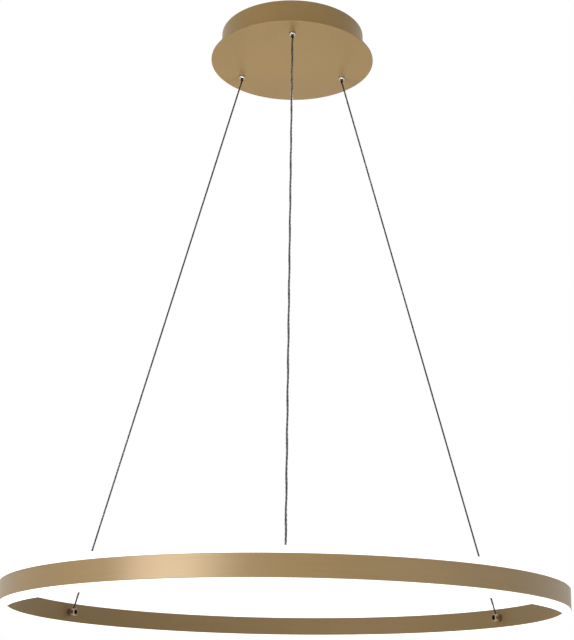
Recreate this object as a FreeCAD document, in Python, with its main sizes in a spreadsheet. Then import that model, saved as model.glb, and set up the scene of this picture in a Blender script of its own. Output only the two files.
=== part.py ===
"""LED ring chandelier on three slanting cables, hung from a round ceiling canopy.

The frame: the origin is the centre of the canopy's ceiling face, +Z is up, and -Y is
the front. Everything hangs below z = 0. One suspension point is at the front and the
other two are 120 degrees to each side of it.
"""
import FreeCAD, Part
import math
import os

import Sketcher

V = FreeCAD.Vector
Z_AXIS = V(0, 0, 1)

# Every driving dimension, in millimetres, degrees or a plain count.
SIZES = (
    # canopy
    ("cup_radius", 110.7),
    ("cup_wall", 1.0),
    ("cup_flange_width", 10.0),
    ("cup_edge_chamfer", 1.0),
    ("canopy_height", 43.5),
    ("plate_radius", 126.5),
    ("plate_thickness", 2.0),
    ("plate_edge_chamfer", 0.4),
    # ceiling bracket
    ("bracket_width", 26.0),
    ("bracket_thickness", 1.5),
    ("bracket_tab_length", 13.0),
    ("bracket_gap", 0.3),
    ("slot_spacing", 150.0),
    ("slot_length", 22.0),
    ("slot_half_width", 2.6),
    ("cable_entry_radius", 9.0),
    ("side_screw_level", 8.0),
    ("side_screw_radius", 1.95),
    ("side_screw_length", 8.0),
    ("side_head_chamfer", 0.5),
    ("side_head_radius", 3.6),
    ("side_head_height", 1.0),
    # welded studs and their nuts
    ("stud_radius", 2.0),
    ("flange_stud_length", 7.5),
    ("flange_stud_inset", 5.6),
    ("inner_stud_length", 9.0),
    ("nut_across_flats", 7.0),
    ("nut_height", 3.2),
    ("thread_gap", 0.05),
    ("hole_clearance", 0.25),
    # driver, terminal block and earth point
    ("driver_length", 112.0),
    ("driver_width", 38.0),
    ("driver_height", 24.0),
    ("driver_wall", 1.5),
    ("driver_ear", 9.0),
    ("driver_ear_thickness", 2.0),
    ("driver_lid_thickness", 1.8),
    ("driver_lid_lip", 2.5),
    ("fit_gap", 0.1),
    ("terminal_length", 36.0),
    ("terminal_width", 15.0),
    ("terminal_height", 12.0),
    ("terminal_foot_side", 9.0),
    ("terminal_foot_height", 2.5),
    ("terminal_offset", 49.0),
    ("terminal_pitch", 11.0),
    ("terminal_count", 3),
    ("terminal_well_radius", 2.6),
    ("terminal_screw_radius", 2.2),
    ("terminal_screw_depth", 3.0),
    ("earth_offset", 46.0),
    ("lead_radius", 1.1),
    ("lead_level", 5.0),
    ("lead_pitch", 3.5),
    ("lead_entry_offset", 12.0),
    ("lead_run_out", 10.0),
    ("output_lead_offset", 70.0),
    ("lead_bend_radius", 6.0),
    # suspension
    ("suspension_height", 844.5),
    ("suspension_count", 3),
    ("suspension_turn", 30.0),
    ("grip_inset", 18.5),
    ("cable_radius", 1.3),
    ("power_cable_radius", 1.6),
    ("cable_tail_length", 9.0),
    # upper cable grip
    ("grip_head_radius", 5.0),
    ("grip_head_height", 4.2),
    ("grip_head_round", 2.2),
    ("grip_floor", 1.5),
    ("grip_shank_radius", 4.0),
    ("grip_shank_length", 14.0),
    ("cone_low_radius", 2.6),
    ("cone_high_radius", 3.15),
    ("cone_top", 6.0),
    ("grip_nut_across_flats", 13.0),
    ("grip_nut_height", 3.0),
    ("cap_plug_length", 2.5),
    ("cap_flange_height", 2.0),
    # release plunger, its balls and its spring
    ("plunger_radius", 2.2),
    ("cage_radius", 2.45),
    ("plunger_stand", 4.0),
    ("plunger_top", 3.0),
    ("plunger_mouth", 0.45),
    ("running_gap", 0.05),
    ("cable_gap", 0.1),
    ("ball_radius", 0.7),
    ("ball_level", 0.5),
    ("ball_count", 3),
    ("spring_wire", 0.5),
    ("spring_radius", 2.0),
    ("spring_turns", 3),
    # ring
    ("ring_radius", 400.0),
    ("profile_width", 11.0),
    ("band_height", 28.5),
    ("profile_wall", 1.2),
    ("web_thickness", 1.2),
    ("channel_height", 6.4),
    ("diffuser_stand", 9.2),
    ("diffuser_wall", 1.0),
    ("diffuser_chamfer", 1.1),
    ("foot_gap", 0.2),
    ("strip_width", 5.8),
    ("strip_thickness", 0.8),
    ("strip_parts", 4),
    ("strip_joint_gap", 2.6),
    ("chip_length", 3.5),
    ("chip_width", 2.8),
    ("chip_height", 0.7),
    ("chip_count", 72),
    # lower cable grip on the ring's inner wall
    ("barrel_radius", 5.75),
    ("barrel_length", 13.0),
    ("barrel_edge_chamfer", 0.6),
    ("cable_seat", 6.5),
    ("cross_hole_radius", 1.8),
    ("cable_end_depth", 3.0),
    ("barrel_stud_radius", 2.0),
    ("barrel_stud_length", 4.2),
    ("stud_bore_radius", 0.95),
    ("clamp_screw_radius", 4.0),
    ("clamp_screw_recess", 0.5),
    ("clamp_point_radius", 1.2),
    ("clamp_point_length", 1.2),
    ("hex_socket_flats", 4.0),
    ("hex_socket_depth", 2.0),
    ("nut_plate_length", 14.0),
    ("nut_plate_height", 6.0),
    ("nut_plate_thickness", 2.5),
    ("feed_lead_radius", 0.7),
    ("feed_hole_radius", 1.1),
)

# The suspension points, in equal steps about Z from the first one's angle.
SUSPENSIONS = (("right", 0), ("left", 1), ("front", 2))

doc = FreeCAD.newDocument("ring_chandelier")
sheet = doc.addObject("Spreadsheet::Sheet", "Sizes")
for row, (alias, number) in enumerate(SIZES, 1):
    sheet.set("A%d" % row, alias)
    sheet.set("B%d" % row, str(number))
    sheet.setAlias("B%d" % row, alias)
doc.recompute()

ALIASES = {alias for alias, number in SIZES}
nodes = []

# Levels and places that several pieces share, each worked out from the sizes above.
PLATE_UNDER = "(0 - canopy_height)"
PLATE_TOP = "(0 - canopy_height + plate_thickness)"
CUP_INSIDE = "(cup_radius - cup_wall)"
CUP_FLANGE = "(cup_radius - cup_flange_width)"
FLANGE_STUD_CIRCLE = "(cup_radius - flange_stud_inset)"
GRIP_CIRCLE = "(cup_radius - grip_inset)"
STEP = "(360 / suspension_count)"
GRIP_FLOOR_TOP = "(grip_floor - grip_head_height)"
MOUTH = "(0 - grip_head_height - plunger_stand)"
PLUNGER_BORE = "(cable_radius + cable_gap)"
BALL_CIRCLE = "(cable_radius + cable_gap / 2 + ball_radius)"
CAP_UNDER = "(grip_shank_length - cap_plug_length)"
RING_MIDDLE = "(0 - canopy_height - suspension_height)"
INNER_FACE = "(ring_radius - profile_width)"
CHANNEL_INSIDE = "(ring_radius - profile_width + profile_wall)"
CHANNEL_OUTSIDE = "(ring_radius - profile_wall)"
CHANNEL_CENTRE = "(ring_radius - profile_width / 2)"
WEB_TOP = "(channel_height / 2 + web_thickness)"
STRIP_TOP = "(channel_height / 2 + web_thickness + strip_thickness)"
DIFFUSER_TOP = "(band_height / 2 + diffuser_stand)"
CABLE_SEAT = "(ring_radius - profile_width - cable_seat)"
BARREL_END = "(ring_radius - profile_width - barrel_length)"
CABLE_DROP = "(suspension_height - grip_head_height - plunger_stand)"
SLANT = "atan((%s - %s) / %s)" % (CABLE_SEAT, GRIP_CIRCLE, CABLE_DROP)
DRIVER_STUD = "(driver_length / 2 + driver_ear / 2)"
TERMINAL_STUD = "(terminal_offset - terminal_width / 2 - terminal_foot_side / 2)"


# ---------------------------------------------------------------- tools of the model

def cell(expression):
    """The expression with each size's name pointed at the sheet."""
    words = []
    word = ""
    for letter in expression + " ":
        if letter.isalnum() or letter == "_":
            word += letter
            continue
        words.append("Sizes." + word if word in ALIASES else word)
        words.append(letter)
        word = ""
    return "".join(words).strip()


def size(expression):
    """The number that an expression over the sheet's cells comes to."""
    return float(sheet.evalExpression(cell(expression)))


def node(made, name):
    """Marks an object as one node of the chandelier, under the name of its file."""
    made.Label = name
    nodes.append(made)
    return made


def body(name):
    return node(doc.addObject("PartDesign::Body", name), name)


def origin_plane(owner, role):
    return [item for item in owner.Origin.OriginFeatures if item.Role == role][0]


def sketch(owner, name, plane, at=("0", "0", "0")):
    """An empty sketch on an origin plane, moved in that plane's own directions."""
    made = owner.newObject("Sketcher::SketchObject", owner.Name + "_" + name)
    made.AttachmentSupport = [(origin_plane(owner, plane), "")]
    made.MapMode = "FlatFace"
    for direction, distance in zip("xyz", at):
        if distance != "0":
            made.setExpression("AttachmentOffset.Base." + direction, cell(distance))
    return made


def bind(owner, kind, expression, *where):
    """A dimension of a sketch that follows an expression."""
    number = owner.addConstraint(Sketcher.Constraint(kind, *where, size(expression)))
    owner.setExpression("Constraints[%d]" % number, cell(expression))


def bind_point(owner, x, y, geometry, end):
    bind(owner, "DistanceX", x, -1, 1, geometry, end)
    bind(owner, "DistanceY", y, -1, 1, geometry, end)


def direction_of(start, end):
    """-1, 0 or 1 for each of X and Y, from one point towards another."""
    across = (end.x > start.x + 1e-7) - (end.x < start.x - 1e-7)
    along = (end.y > start.y + 1e-7) - (end.y < start.y - 1e-7)
    return across, along


def add_arc(owner, start, square, end):
    """A quarter circle from start to end inside a square corner.

    Gives the number of the end of the arc that lies at start, because a sketch's arcs
    always run anticlockwise.
    """
    centre = start + end - square
    first = math.atan2(start.y - centre.y, start.x - centre.x)
    last = math.atan2(end.y - centre.y, end.x - centre.x)
    forward = (last - first) % (2 * math.pi) < math.pi
    low, high = (first, last) if forward else (last, first)
    whole = Part.Circle(centre, Z_AXIS, (start - centre).Length)
    owner.addGeometry(Part.ArcOfCircle(whole, low, high))
    return 1 if forward else 2


def outline(owner, corners):
    """A closed outline of straight runs between corners given as expressions.

    A corner is (x, y) or (x, y, radius). A rounded corner is a square one, and its
    arc runs between the two points that lie a radius away from it.
    """
    places = [V(size(corner[0]), size(corner[1]), 0) for corner in corners]
    stops = []
    for index, corner in enumerate(corners):
        if len(corner) == 2:
            stops.append((corner[0], corner[1], None, None))
            continue
        following = places[(index + 1) % len(corners)]
        for neighbour, radius in ((places[index - 1], corner[2]), (following, None)):
            across, along = direction_of(places[index], neighbour)
            stops.append(("%s + %d * %s" % (corner[0], across, corner[2]),
                          "%s + %d * %s" % (corner[1], along, corner[2]),
                          radius, places[index]))
    points = [V(size(stop[0]), size(stop[1]), 0) for stop in stops]
    first = owner.GeometryCount
    starts = []
    for index, (x, y, radius, square) in enumerate(stops):
        start = points[index]
        end = points[(index + 1) % len(points)]
        if radius is None:
            owner.addGeometry(Part.LineSegment(start, end))
            starts.append(1)
            continue
        starts.append(add_arc(owner, start, square, end))
    for index, (x, y, radius, square) in enumerate(stops):
        following = (index + 1) % len(points)
        owner.addConstraint(Sketcher.Constraint(
            "Coincident", first + index, 3 - starts[index], first + following, starts[following]))
    for index, (x, y, radius, square) in enumerate(stops):
        bind_point(owner, x, y, first + index, starts[index])
        if radius is not None:
            bind(owner, "Radius", radius, first + index)


def circle(owner, x, y, radius):
    """A full circle whose centre and radius are expressions."""
    index = owner.addGeometry(Part.Circle(V(size(x), size(y), 0), Z_AXIS, size(radius)))
    bind_point(owner, x, y, index, 3)
    bind(owner, "Radius", radius, index)


def rectangle(owner, x, y, width, depth):
    """A rectangle about the centre (x, y)."""
    low_x = "%s - %s / 2" % (x, width)
    high_x = "%s + %s / 2" % (x, width)
    low_y = "%s - %s / 2" % (y, depth)
    high_y = "%s + %s / 2" % (y, depth)
    outline(owner, ((low_x, low_y), (high_x, low_y), (high_x, high_y), (low_x, high_y)))


def hexagon(owner, x, y, flats):
    """A hexagon by its distance across flats, with two corners along the sketch's Y."""
    corners = []
    for index in range(6):
        reach = "%s / 2 / cos(30)" % flats
        angle = 60 * index + 30
        corners.append(("%s + %s * cos(%d)" % (x, reach, angle),
                        "%s + %s * sin(%d)" % (y, reach, angle)))
    outline(owner, corners)


def slot(owner, centre):
    """A straight slot along X with round ends, centred at (centre, 0)."""
    reach = "(slot_length / 2 - slot_half_width)"
    corners = (("%s - %s" % (centre, reach), "0 - slot_half_width"),
               ("%s + %s" % (centre, reach), "0 - slot_half_width"),
               ("%s + %s" % (centre, reach), "slot_half_width"),
               ("%s - %s" % (centre, reach), "slot_half_width"))
    points = [V(size(x), size(y), 0) for x, y in corners]
    first = owner.GeometryCount
    for index, start in enumerate(points):
        end = points[(index + 1) % 4]
        if index % 2 == 0:
            owner.addGeometry(Part.LineSegment(start, end))
            continue
        whole = Part.Circle((start + end) / 2, Z_AXIS, size("slot_half_width"))
        turned = (index - 2) * math.pi / 2
        owner.addGeometry(Part.ArcOfCircle(whole, turned, turned + math.pi))
    for index, (x, y) in enumerate(corners):
        following = first + (index + 1) % 4
        owner.addConstraint(Sketcher.Constraint("Coincident", first + index, 2, following, 1))
        bind_point(owner, x, y, first + index, 1)
    bind(owner, "DistanceX", "%s + %s" % (centre, reach), -1, 1, first + 1, 3)
    bind(owner, "DistanceX", "%s - %s" % (centre, reach), -1, 1, first + 3, 3)


def feature(owner, kind, name, profile):
    made = owner.newObject("PartDesign::" + kind, owner.Name + "_" + name)
    made.Profile = profile
    owner.Tip = made
    return made


def revolve(owner, name, profile, axis="V_Axis"):
    """Turns a sketch once about one of its own axes."""
    made = feature(owner, "Revolution", name, profile)
    made.ReferenceAxis = (profile, [axis])
    made.Angle = 360
    return made


def pad(owner, name, profile, height, both_sides=False):
    made = feature(owner, "Pad", name, profile)
    made.setExpression("Length", cell(height))
    made.Midplane = both_sides
    return made


def cuts(owner, made, before):
    """Stops the model when a cut has taken nothing away."""
    doc.recompute()
    if owner.Shape.Volume > before - 1e-6:
        raise ValueError(made.Name + " cuts nothing")
    return made


def cut_through(owner, name, profile, depth):
    """Cuts a sketch's outline half of the depth to each side of its plane."""
    doc.recompute()
    before = owner.Shape.Volume
    made = feature(owner, "Pocket", name, profile)
    made.setExpression("Length", cell(depth))
    made.Midplane = True
    return cuts(owner, made, before)


def solid_of(owner, kind, name, place, direction, **sizes):
    """An additive or subtractive cylinder, cone or sphere, set along a direction."""
    doc.recompute()
    before = owner.Shape.Volume if kind.startswith("Subtractive") else 0
    made = owner.newObject("PartDesign::" + kind, owner.Name + "_" + name)
    made.AttachmentSupport = [(origin_plane(owner, "XY_Plane"), "")]
    made.MapMode = "FlatFace"
    made.AttachmentOffset = FreeCAD.Placement(place, FreeCAD.Rotation(Z_AXIS, direction))
    for name_of_size, expression in sizes.items():
        made.setExpression(name_of_size, cell(expression))
    owner.Tip = made
    return cuts(owner, made, before) if before else made


def around(owner, name, features, count):
    """Repeats features evenly round the Z axis."""
    doc.recompute()
    made = owner.newObject("PartDesign::PolarPattern", owner.Name + "_" + name)
    made.Originals = features
    made.Axis = (origin_plane(owner, "Z_Axis"), [""])
    made.Angle = 360
    made.setExpression("Occurrences", cell(count))
    owner.Tip = made
    return made


def turn(made, angle):
    """Turns a finished piece about the Z axis by an angle in degrees."""
    made.Placement = FreeCAD.Placement(V(0, 0, 0), FreeCAD.Rotation(Z_AXIS, angle))


def suspension_angle(place):
    return size("suspension_turn + %s * %d" % (STEP, place))


def radial(place, distance, level):
    """The point at a distance from the Z axis, at a suspension point's angle."""
    angle = math.radians(suspension_angle(place))
    reach = size(distance)
    return V(reach * math.cos(angle), reach * math.sin(angle), level)


def rounded_path(points, radius):
    """Straight runs through the points, joined by tangent arcs of one radius."""
    edges = []
    start = points[0]
    for before, corner, after in zip(points, points[1:], points[2:]):
        into = (corner - before).normalize()
        out = (after - corner).normalize()
        half_turn = into.getAngle(out) / 2
        reach = radius * math.tan(half_turn)
        inward = (out - into).normalize()
        middle = corner + inward * (radius / math.cos(half_turn) - radius)
        arc_end = corner + out * reach
        edges.append(Part.LineSegment(start, corner - into * reach).toShape())
        edges.append(Part.Arc(corner - into * reach, middle, arc_end).toShape())
        start = arc_end
    edges.append(Part.LineSegment(start, points[-1]).toShape())
    return Part.Wire(edges)


def lead(points):
    """A round lead that follows rounded_path through the points."""
    path = rounded_path(points, size("lead_bend_radius"))
    along = points[1] - points[0]
    section = Part.Wire(Part.Circle(points[0], along, size("lead_radius")).toShape())
    return path.makePipeShell([section], True, False)


def leads(name, solids):
    """A node of leads, whose solids are made directly along their bent routes."""
    made = node(doc.addObject("Part::Feature", name), name)
    made.Shape = solids[0] if len(solids) == 1 else Part.makeCompound(solids)


# ---------------------------------------------------------------- canopy

def stud_places():
    """Where each welded stud stands, and how thick the piece is that it holds."""
    places = []
    for index in range(int(size("suspension_count"))):
        angle = "(suspension_turn + %s / 2 + %s * %d)" % (STEP, STEP, index)
        places.append(("%s * cos%s" % (FLANGE_STUD_CIRCLE, angle),
                       "%s * sin%s" % (FLANGE_STUD_CIRCLE, angle), "cup_wall"))
    places.append((DRIVER_STUD, "0", "driver_ear_thickness"))
    places.append(("0 - " + DRIVER_STUD, "0", "driver_ear_thickness"))
    places.append(("0", TERMINAL_STUD, "terminal_foot_height"))
    places.append(("earth_offset", "terminal_offset", "0"))
    return places


def ceiling_bracket():
    """A steel strip on the ceiling, with a tab at each end for the cup's side screws."""
    made = body("ceiling_bracket")
    end = "(sqrt(%s ^ 2 - (bracket_width / 2) ^ 2) - bracket_gap)" % CUP_INSIDE
    tab = "(%s - bracket_thickness)" % end
    profile = sketch(made, "bend", "XZ_Plane")
    outline(profile, (
        ("0 - " + end, "0", "bracket_thickness"),
        (end, "0", "bracket_thickness"),
        (end, "0 - bracket_tab_length"),
        (tab, "0 - bracket_tab_length"),
        (tab, "0 - bracket_thickness"),
        ("0 - " + tab, "0 - bracket_thickness"),
        ("0 - " + tab, "0 - bracket_tab_length"),
        ("0 - " + end, "0 - bracket_tab_length"),
    ))
    pad(made, "strip", profile, "bracket_width", both_sides=True)
    holes = sketch(made, "holes", "XY_Plane")
    circle(holes, "0", "0", "cable_entry_radius")
    slot(holes, "slot_spacing / 2")
    slot(holes, "0 - slot_spacing / 2")
    cut_through(made, "cable_and_screw_holes", holes, "4 * bracket_thickness")
    taps = sketch(made, "taps", "YZ_Plane")
    circle(taps, "0", "0 - side_screw_level", "side_screw_radius + thread_gap")
    cut_through(made, "side_screw_holes", taps, "4 * cup_radius")


def canopy_cup():
    """A spun cup, open at the ceiling, whose inward flange stands on the plate."""
    made = body("canopy_cup")
    flange_top = "(%s + cup_wall)" % PLATE_TOP
    profile = sketch(made, "wall", "XZ_Plane")
    outline(profile, (
        (CUP_FLANGE, PLATE_TOP),
        ("cup_radius - cup_edge_chamfer", PLATE_TOP),
        ("cup_radius", PLATE_TOP + " + cup_edge_chamfer"),
        ("cup_radius", "0"),
        (CUP_INSIDE, "0"),
        (CUP_INSIDE, flange_top),
        (CUP_FLANGE, flange_top),
    ))
    revolve(made, "spin", profile)
    holes = sketch(made, "flange_holes", "XY_Plane", ("0", "0", PLATE_TOP))
    for x, y, held in stud_places():
        if held == "cup_wall":
            circle(holes, x, y, "stud_radius + hole_clearance")
    cut_through(made, "flange_hole_cuts", holes, "3 * cup_wall")
    sides = sketch(made, "side_holes", "YZ_Plane")
    circle(sides, "0", "0 - side_screw_level", "side_screw_radius + hole_clearance")
    cut_through(made, "side_hole_cuts", sides, "4 * cup_radius")


def canopy_plate():
    """The round plate under the cup, which carries everything and shows from below."""
    made = body("canopy_plate")
    profile = sketch(made, "disc", "XZ_Plane")
    outline(profile, (
        ("0", PLATE_UNDER),
        ("plate_radius - plate_edge_chamfer", PLATE_UNDER),
        ("plate_radius", PLATE_UNDER + " + plate_edge_chamfer"),
        ("plate_radius", PLATE_TOP + " - plate_edge_chamfer"),
        ("plate_radius - plate_edge_chamfer", PLATE_TOP),
        ("0", PLATE_TOP),
    ))
    revolve(made, "spin", profile)
    holes = sketch(made, "grip_holes", "XY_Plane", ("0", "0", PLATE_TOP))
    circle(holes, GRIP_CIRCLE, "0", "grip_shank_radius + running_gap")
    hole = cut_through(made, "grip_hole", holes, "4 * plate_thickness")
    around(made, "grip_hole_ring", [hole], "suspension_count")
    turn(made, suspension_angle(0))


def plate_studs():
    """Studs welded on top of the plate for the cup, the driver, the block and the earth."""
    made = body("plate_studs")
    low = sketch(made, "flange", "XY_Plane", ("0", "0", PLATE_TOP))
    tall = sketch(made, "inner", "XY_Plane", ("0", "0", PLATE_TOP))
    for x, y, held in stud_places():
        circle(low if held == "cup_wall" else tall, x, y, "stud_radius")
    pad(made, "flange_studs", low, "flange_stud_length")
    pad(made, "inner_studs", tall, "inner_stud_length")


def plate_nuts():
    """A nut on each stud, on top of whatever the stud holds."""
    made = body("plate_nuts")
    for index, (x, y, held) in enumerate(stud_places()):
        seat = sketch(made, "hexagon_%d" % index, "XY_Plane", ("0", "0", PLATE_TOP + " + " + held))
        hexagon(seat, x, y, "nut_across_flats")
        circle(seat, x, y, "stud_radius + thread_gap")
        pad(made, "nut_%d" % index, seat, "nut_height")


def side_screws():
    """The two screws that hold the cup to the bracket's tabs."""
    made = body("side_screws")
    profile = sketch(made, "screw", "XZ_Plane", ("0", "0 - side_screw_level", "0"))
    under_head = "(cup_radius + thread_gap)"
    outline(profile, (
        (under_head + " - side_screw_length", "0"),
        (under_head + " + side_head_height", "0"),
        (under_head + " + side_head_height", "side_head_radius - side_head_chamfer"),
        (under_head + " + side_head_height - side_head_chamfer", "side_head_radius"),
        (under_head, "side_head_radius"),
        (under_head, "side_screw_radius"),
        (under_head + " - side_screw_length", "side_screw_radius"),
    ))
    screw = revolve(made, "turned", profile, "H_Axis")
    around(made, "both_sides", [screw], "2")


# ---------------------------------------------------------------- driver and wiring

def driver_case():
    """The driver's tray, with an ear at each end that a plate stud goes through."""
    made = body("driver_case")
    base = sketch(made, "base", "XY_Plane", ("0", "0", PLATE_TOP))
    rectangle(base, "0", "0", "driver_length", "driver_width")
    pad(made, "block", base, "driver_height - driver_lid_thickness")
    rim = sketch(made, "inside", "XY_Plane",
                 ("0", "0", PLATE_TOP + " + driver_height - driver_lid_thickness"))
    rectangle(rim, "0", "0", "(driver_length - 2 * driver_wall)",
              "(driver_width - 2 * driver_wall)")
    cut_through(made, "hollow", rim, "2 * (driver_height - driver_lid_thickness - driver_wall)")
    ears = sketch(made, "ears", "XY_Plane", ("0", "0", PLATE_TOP))
    for side in ("", "0 - "):
        rectangle(ears, side + DRIVER_STUD, "0", "driver_ear", "(driver_width / 2)")
        circle(ears, side + DRIVER_STUD, "0", "stud_radius + hole_clearance")
    pad(made, "ear_pair", ears, "driver_ear_thickness")


def driver_lid():
    """The driver's lid, with a lip that drops inside the tray."""
    made = body("driver_lid")
    top = sketch(made, "top", "XY_Plane",
                 ("0", "0", PLATE_TOP + " + driver_height - driver_lid_thickness"))
    rectangle(top, "0", "0", "driver_length", "driver_width")
    pad(made, "cover", top, "driver_lid_thickness")
    lip = sketch(made, "lip", "XY_Plane",
                 ("0", "0", PLATE_TOP + " + driver_height - driver_lid_thickness - driver_lid_lip"))
    for inset in ("(driver_wall + fit_gap)", "(2 * driver_wall + fit_gap)"):
        rectangle(lip, "0", "0", "(driver_length - 2 * %s)" % inset,
                  "(driver_width - 2 * %s)" % inset)
    pad(made, "lip_frame", lip, "driver_lid_lip")


def terminal_wells():
    """The X place of each of the terminal block's wells."""
    count = int(size("terminal_count"))
    return ["(%g * terminal_pitch)" % (index - (count - 1) / 2) for index in range(count)]


def terminal_block():
    """The mains terminal block, held by a stud through its foot."""
    made = body("terminal_block")
    base = sketch(made, "base", "XY_Plane", ("0", "0", PLATE_TOP))
    rectangle(base, "0", "terminal_offset", "terminal_length", "terminal_width")
    pad(made, "block", base, "terminal_height")
    foot = sketch(made, "foot", "XY_Plane", ("0", "0", PLATE_TOP))
    rectangle(foot, "0", TERMINAL_STUD, "terminal_foot_side", "terminal_foot_side")
    circle(foot, "0", TERMINAL_STUD, "stud_radius + hole_clearance")
    pad(made, "foot_pad", foot, "terminal_foot_height")
    wells = sketch(made, "wells", "XY_Plane", ("0", "0", PLATE_TOP + " + terminal_height"))
    for place in terminal_wells():
        circle(wells, place, "terminal_offset", "terminal_well_radius")
    cut_through(made, "well_cuts", wells, "2 * (terminal_screw_depth + terminal_screw_radius)")


def terminal_screws():
    """A clamping screw at the bottom of each well."""
    made = body("terminal_screws")
    level = PLATE_TOP + " + terminal_height - terminal_screw_depth - terminal_screw_radius"
    places = sketch(made, "places", "XY_Plane", ("0", "0", level))
    for place in terminal_wells():
        circle(places, place, "terminal_offset", "terminal_screw_radius")
    pad(made, "heads", places, "terminal_screw_radius")
    slits = sketch(made, "slits", "XY_Plane", ("0", "0", level + " + terminal_screw_radius"))
    for place in terminal_wells():
        rectangle(slits, place, "terminal_offset", "(3 * terminal_screw_radius)",
                  "(terminal_screw_radius / 3)")
    cut_through(made, "slit_cuts", slits, "terminal_screw_radius")


def wiring():
    """The leads in the canopy: mains to driver, driver to front cable, and earth."""
    bottom = size(PLATE_TOP)
    block_end = size("terminal_length") / 2
    driver_end = size("driver_length") / 2
    beyond = driver_end + size("lead_run_out")
    row = size("terminal_offset")
    entry = size("lead_entry_offset")
    level = bottom + size("lead_level")
    mains = []
    for index in range(2):
        height = level + index * size("lead_pitch")
        mains.append(lead([V(-block_end, row, height), V(-beyond, row, height),
                           V(-beyond, entry, height), V(-driver_end, entry, height)]))
    leads("mains_leads", mains)
    radius = size(GRIP_CIRCLE)
    back = size("output_lead_offset")
    tail_top = size(PLATE_UNDER + " + grip_shank_length + cap_flange_height + cable_tail_length")
    high = tail_top + size("lead_bend_radius + lead_radius")
    leads("output_lead", [lead([
        V(driver_end, -entry, level), V(beyond, -entry, level), V(beyond, -back, level),
        V(0, -back, level), V(0, -back, high), V(0, -radius, high), V(0, -radius, tail_top)])])
    stud_side = size("earth_offset - nut_across_flats / 2")
    leads("earth_lead", [Part.makeCylinder(
        size("lead_radius"), stud_side - block_end,
        V(block_end, row, bottom + size("nut_height") / 2), V(1, 0, 0))])


# ---------------------------------------------------------------- upper cable grips

def upper_grip_bodies():
    """The grips' housings: a domed head under the plate, a shank and a tapered bore."""
    made = body("upper_grip_bodies")
    profile = sketch(made, "half", "XZ_Plane", (GRIP_CIRCLE, PLATE_UNDER, "0"))
    guide = "(plunger_radius + running_gap)"
    outline(profile, (
        (guide, "0 - grip_head_height"),
        ("grip_head_radius", "0 - grip_head_height", "grip_head_round"),
        ("grip_head_radius", "0"),
        ("grip_shank_radius", "0"),
        ("grip_shank_radius", "grip_shank_length"),
        ("cone_high_radius", "grip_shank_length"),
        ("cone_high_radius", "cone_top"),
        ("cone_low_radius", GRIP_FLOOR_TOP),
        (guide, GRIP_FLOOR_TOP),
    ))
    turned = revolve(made, "turned", profile)
    around(made, "grips", [turned], "suspension_count")
    turn(made, suspension_angle(0))


def grip_lock_nuts():
    """The thin nuts that pull the grips' heads up against the plate."""
    made = body("grip_lock_nuts")
    seat = sketch(made, "hexagon", "XY_Plane", ("0", "0", PLATE_TOP))
    hexagon(seat, GRIP_CIRCLE, "0", "grip_nut_across_flats")
    circle(seat, GRIP_CIRCLE, "0", "grip_shank_radius + thread_gap")
    nut = pad(made, "nut", seat, "grip_nut_height")
    around(made, "nuts", [nut], "suspension_count")
    turn(made, suspension_angle(0))


def grip_caps():
    """The caps screwed into the tops of the shanks, which back the springs."""
    made = body("grip_caps")
    profile = sketch(made, "half", "XZ_Plane", (GRIP_CIRCLE, PLATE_UNDER, "0"))
    outline(profile, (
        (PLUNGER_BORE, CAP_UNDER),
        ("cone_high_radius - thread_gap", CAP_UNDER),
        ("cone_high_radius - thread_gap", "grip_shank_length"),
        ("grip_shank_radius", "grip_shank_length"),
        ("grip_shank_radius", "grip_shank_length + cap_flange_height"),
        (PLUNGER_BORE, "grip_shank_length + cap_flange_height"),
    ))
    turned = revolve(made, "turned", profile)
    around(made, "caps", [turned], "suspension_count")
    turn(made, suspension_angle(0))


def ball_turns():
    """The angle of each clamping ball about its own grip's axis."""
    count = int(size("ball_count"))
    return [2 * math.pi * index / count for index in range(count)]


def plunger(name, place):
    """A release plunger: a hollow nipple below and a cage with ball windows above."""
    made = body("plunger_" + name)
    profile = sketch(made, "half", "XZ_Plane", (GRIP_CIRCLE, PLATE_UNDER, "0"))
    shoulder = "(%s + running_gap)" % GRIP_FLOOR_TOP
    outline(profile, (
        (PLUNGER_BORE + " + plunger_mouth", MOUTH),
        ("plunger_radius", MOUTH),
        ("plunger_radius", shoulder),
        ("cage_radius", shoulder),
        ("cage_radius", "plunger_top"),
        (PLUNGER_BORE, "plunger_top"),
        (PLUNGER_BORE, MOUTH + " + plunger_mouth"),
    ))
    revolve(made, "turned", profile)
    centre = V(size(GRIP_CIRCLE), 0, size(PLATE_UNDER + " + ball_level"))
    for index, angle in enumerate(ball_turns()):
        solid_of(made, "SubtractiveCylinder", "window_%d" % index, centre,
                 V(math.cos(angle), math.sin(angle), 0),
                 Radius="ball_radius + running_gap", Height="2 * cage_radius")
    turn(made, suspension_angle(place))


def clamp_balls(name, place):
    """The steel balls that wedge between the tapered bore and the cable."""
    made = body("clamp_balls_" + name)
    reach = size(BALL_CIRCLE)
    centre = V(size(GRIP_CIRCLE), 0, size(PLATE_UNDER + " + ball_level"))
    for index, angle in enumerate(ball_turns()):
        offset = V(math.cos(angle), math.sin(angle), 0) * reach
        solid_of(made, "AdditiveSphere", "ball_%d" % index, centre + offset, Z_AXIS,
                 Radius="ball_radius")
    turn(made, suspension_angle(place))


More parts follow.
